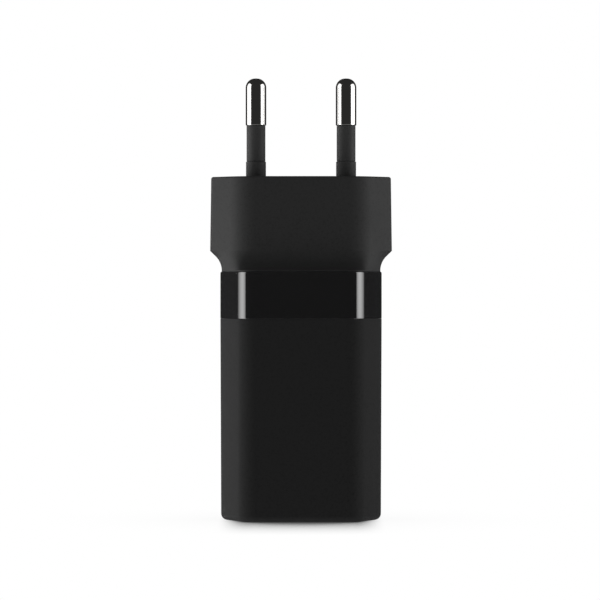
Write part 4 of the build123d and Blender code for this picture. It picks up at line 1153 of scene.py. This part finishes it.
def curved(tree, value, points):
    """A number read off a curve through the points."""
    made = node(tree, "ShaderNodeFloatCurve", {"Value": value})
    along = made.mapping.curves[0].points
    along[0].location, along[1].location = points[0], points[-1]
    for where in points[1:-1]:
        along.new(*where)
    made.mapping.update()
    return made.outputs[0]


def fade_to_edges(tree):
    """Brightest a little in front of the middle, falling away to the light's front and back edges."""
    emission = next(item for item in tree.nodes if item.type == "EMISSION")
    place_on_it = node(
        tree, "ShaderNodeSeparateXYZ", {0: node(tree, "ShaderNodeNewGeometry").outputs["Parametric"]}
    ).outputs
    across = curved(tree, place_on_it["Y"], FALL_OFF)
    off_middle = maths(tree, "ABSOLUTE", maths(tree, "MULTIPLY_ADD", place_on_it["X"], 2.0, -1.0))
    soft = remap(tree, off_middle, 0.45, 1.0, 1.0, 0.3)
    tree.links.new(maths(tree, "MULTIPLY", across, soft), emission.inputs["Strength"])


def grey(value):
    """A grey of one value."""
    return (value,) * 3 + (1.0,)


def room(studio):
    """A white room that the camera sees, and that lights matt surfaces mostly from below, as a pale table
    does. Gloss sees it dark, with a dim floor."""
    world = bpy.context.scene.world or bpy.data.worlds.new("studio_world")
    bpy.context.scene.world = world
    world.use_nodes = True
    tree = world.node_tree
    tree.nodes.clear()
    path = node(tree, "ShaderNodeLightPath").outputs
    upward = node(
        tree, "ShaderNodeSeparateXYZ", {0: node(tree, "ShaderNodeTexCoord").outputs["Generated"]}
    ).outputs["Z"]
    mirrored = mixed(tree, remap(tree, upward, -0.1, -0.8), grey(studio.fill), grey(studio.bounce))
    soft = mixed(tree, remap(tree, upward, 0.05, -0.05), grey(studio.sky), WHITE)
    unseen = mixed(tree, path["Is Diffuse Ray"], mirrored, soft)
    background = node(tree, "ShaderNodeBackground", {
        "Color": mixed(tree, path["Is Camera Ray"], unseen, WHITE),
    })
    node(tree, "ShaderNodeOutputWorld", {0: background.outputs[0]})
    world.cycles.sampling_method = "NONE"


def floor_finish():
    """Glowing white, with a painted shadow where the base hides the room: the glow is darkened by how open
    each point is to the room, and the painted shadow is kept by position to the width of the base. It is
    clear from below."""
    material = bpy.data.materials.new("Pale floor")
    material.use_nodes = True
    tree = material.node_tree
    tree.nodes.clear()
    reach = 40 * MM
    full, gone = 10.5 * MM, 16.2 * MM  # the shadow fades between these distances from the middle
    open_sky = node(tree, "ShaderNodeAmbientOcclusion", {"Distance": reach}, samples=16).outputs["AO"]
    across = node(tree, "ShaderNodeSeparateXYZ", {0: place(tree)}).outputs["X"]
    # painted shadow: its strength is masked by the distance across the floor from the middle, so it stays
    # to the width of the base
    under = node(tree, "ShaderNodeMapRange", {
        0: maths(tree, "ABSOLUTE", across), 1: gone, 2: full, 3: 0.05, 4: 1.0,
    }, interpolation_type="SMOOTHSTEP").outputs[0]
    # painted shadow: the floor's glow is darkened through the SHADOW curve of how open it is to the room
    lit = between(tree, under, 1.0, curved(tree, open_sky, SHADOW))
    emission = node(tree, "ShaderNodeEmission", {"Color": WHITE, "Strength": lit})
    clear = node(tree, "ShaderNodeBsdfTransparent")
    both = node(tree, "ShaderNodeMixShader", {
        0: node(tree, "ShaderNodeNewGeometry").outputs["Backfacing"],
        1: emission.outputs[0], 2: clear.outputs[0],
    })
    node(tree, "ShaderNodeOutputMaterial", {0: both.outputs[0]})
    return material


class CHARGER_OT_studio(ChargerPiece, Operator):
    """Set up the camera, the pale floor, the white background and the soft lights"""

    bl_idname = "charger.studio"
    bl_label = "Studio"

    def execute(self, context):
        scene, studio = context.scene, context.scene.charger_studio
        camera_data = bpy.data.cameras.new("charger_camera")
        camera_data.lens, camera_data.sensor_width = studio.lens, 36.0
        camera_data.clip_start, camera_data.clip_end = 0.01, 50.0
        camera = bpy.data.objects.new("charger_camera", camera_data)
        aside = -0.2 * MM
        camera.location = (aside, -studio.distance, studio.eye_height)
        camera.rotation_euler = (radians(90), 0.0, 0.0)
        scene.collection.objects.link(camera)
        scene.camera = camera
        scene.view_settings.view_transform = "Standard"
        scene.view_settings.look = "None"

        apart, ahead, deep = 0.5, -0.0275, 0.545
        for name, way, height, tall in SIDE_LIGHTS:
            softbox(name, (way * apart, ahead, height), (0, radians(way * 90), 0), tall, deep,
                    studio.side_light, fade_to_edges)
        apart, behind, height, forward = 0.42, 0.34, 0.05, 39
        for name, way, gain in RIM_LIGHTS:
            turn = (0, radians(way * 90), radians(way * forward))
            rim = softbox(name, (way * apart, behind, height), turn, tall=0.5, deep=0.4,
                          radiance=studio.rim_light * gain)
            rim.visible_glossy = False
        overhead = softbox("top_softbox", (0, 0, 0.9), (0, 0, 0), tall=0.6, deep=0.6,
                           radiance=studio.top_light)
        overhead.visible_glossy = False
        room(studio)

        reach = 6.0
        corners = [(-reach, -reach, 0), (reach, -reach, 0), (reach, reach, 0), (-reach, reach, 0)]
        mesh = bpy.data.meshes.new("pale_floor")
        mesh.from_pydata(corners, [], [(0, 1, 2, 3)])
        mesh.materials.append(floor_finish())
        floor = bpy.data.objects.new("pale_floor", mesh)
        scene.collection.objects.link(floor)
        floor.visible_diffuse = floor.visible_glossy = floor.visible_transmission = False
        floor.visible_shadow = False
        return {"FINISHED"}


class CHARGER_PT_sidebar(Panel):
    """The charger's pieces and settings"""

    bl_idname = "CHARGER_PT_sidebar"
    bl_label = "USB Wall Charger"
    bl_space_type = "VIEW_3D"
    bl_region_type = "UI"
    bl_category = "Charger"

    def draw(self, context):
        for settings in SETTINGS:
            column = self.layout.column(align=True)
            group = getattr(context.scene, settings)
            for key in group.__annotations__:
                column.prop(group, key)
        for operator in OPERATORS:
            self.layout.operator(operator.bl_idname)


OPERATORS = (
    CHARGER_OT_studio, CHARGER_OT_case, CHARGER_OT_band, CHARGER_OT_head, CHARGER_OT_carrier,
    CHARGER_OT_pins, CHARGER_OT_sleeves, CHARGER_OT_inlet, CHARGER_OT_socket, CHARGER_OT_board,
)
SETTINGS = {
    "charger_body": ChargerBodySizes, "charger_head": ChargerHeadSizes,
    "charger_finishes": ChargerFinishes, "charger_studio": ChargerStudio,
}


def register():
    for settings, group in SETTINGS.items():
        bpy.utils.register_class(group)
        setattr(bpy.types.Scene, settings, PointerProperty(type=group))
    for listed in OPERATORS + (CHARGER_PT_sidebar,):
        bpy.utils.register_class(listed)


def unregister():
    for listed in reversed(OPERATORS + (CHARGER_PT_sidebar,)):
        bpy.utils.unregister_class(listed)
    for settings, group in reversed(SETTINGS.items()):
        delattr(bpy.types.Scene, settings)
        bpy.utils.unregister_class(group)


def main():
    """Makes every piece and the studio."""
    register()
    for operator in OPERATORS:
        family, name = operator.bl_idname.split(".")
        getattr(getattr(bpy.ops, family), name)()


if __name__ == "__main__":
    main()
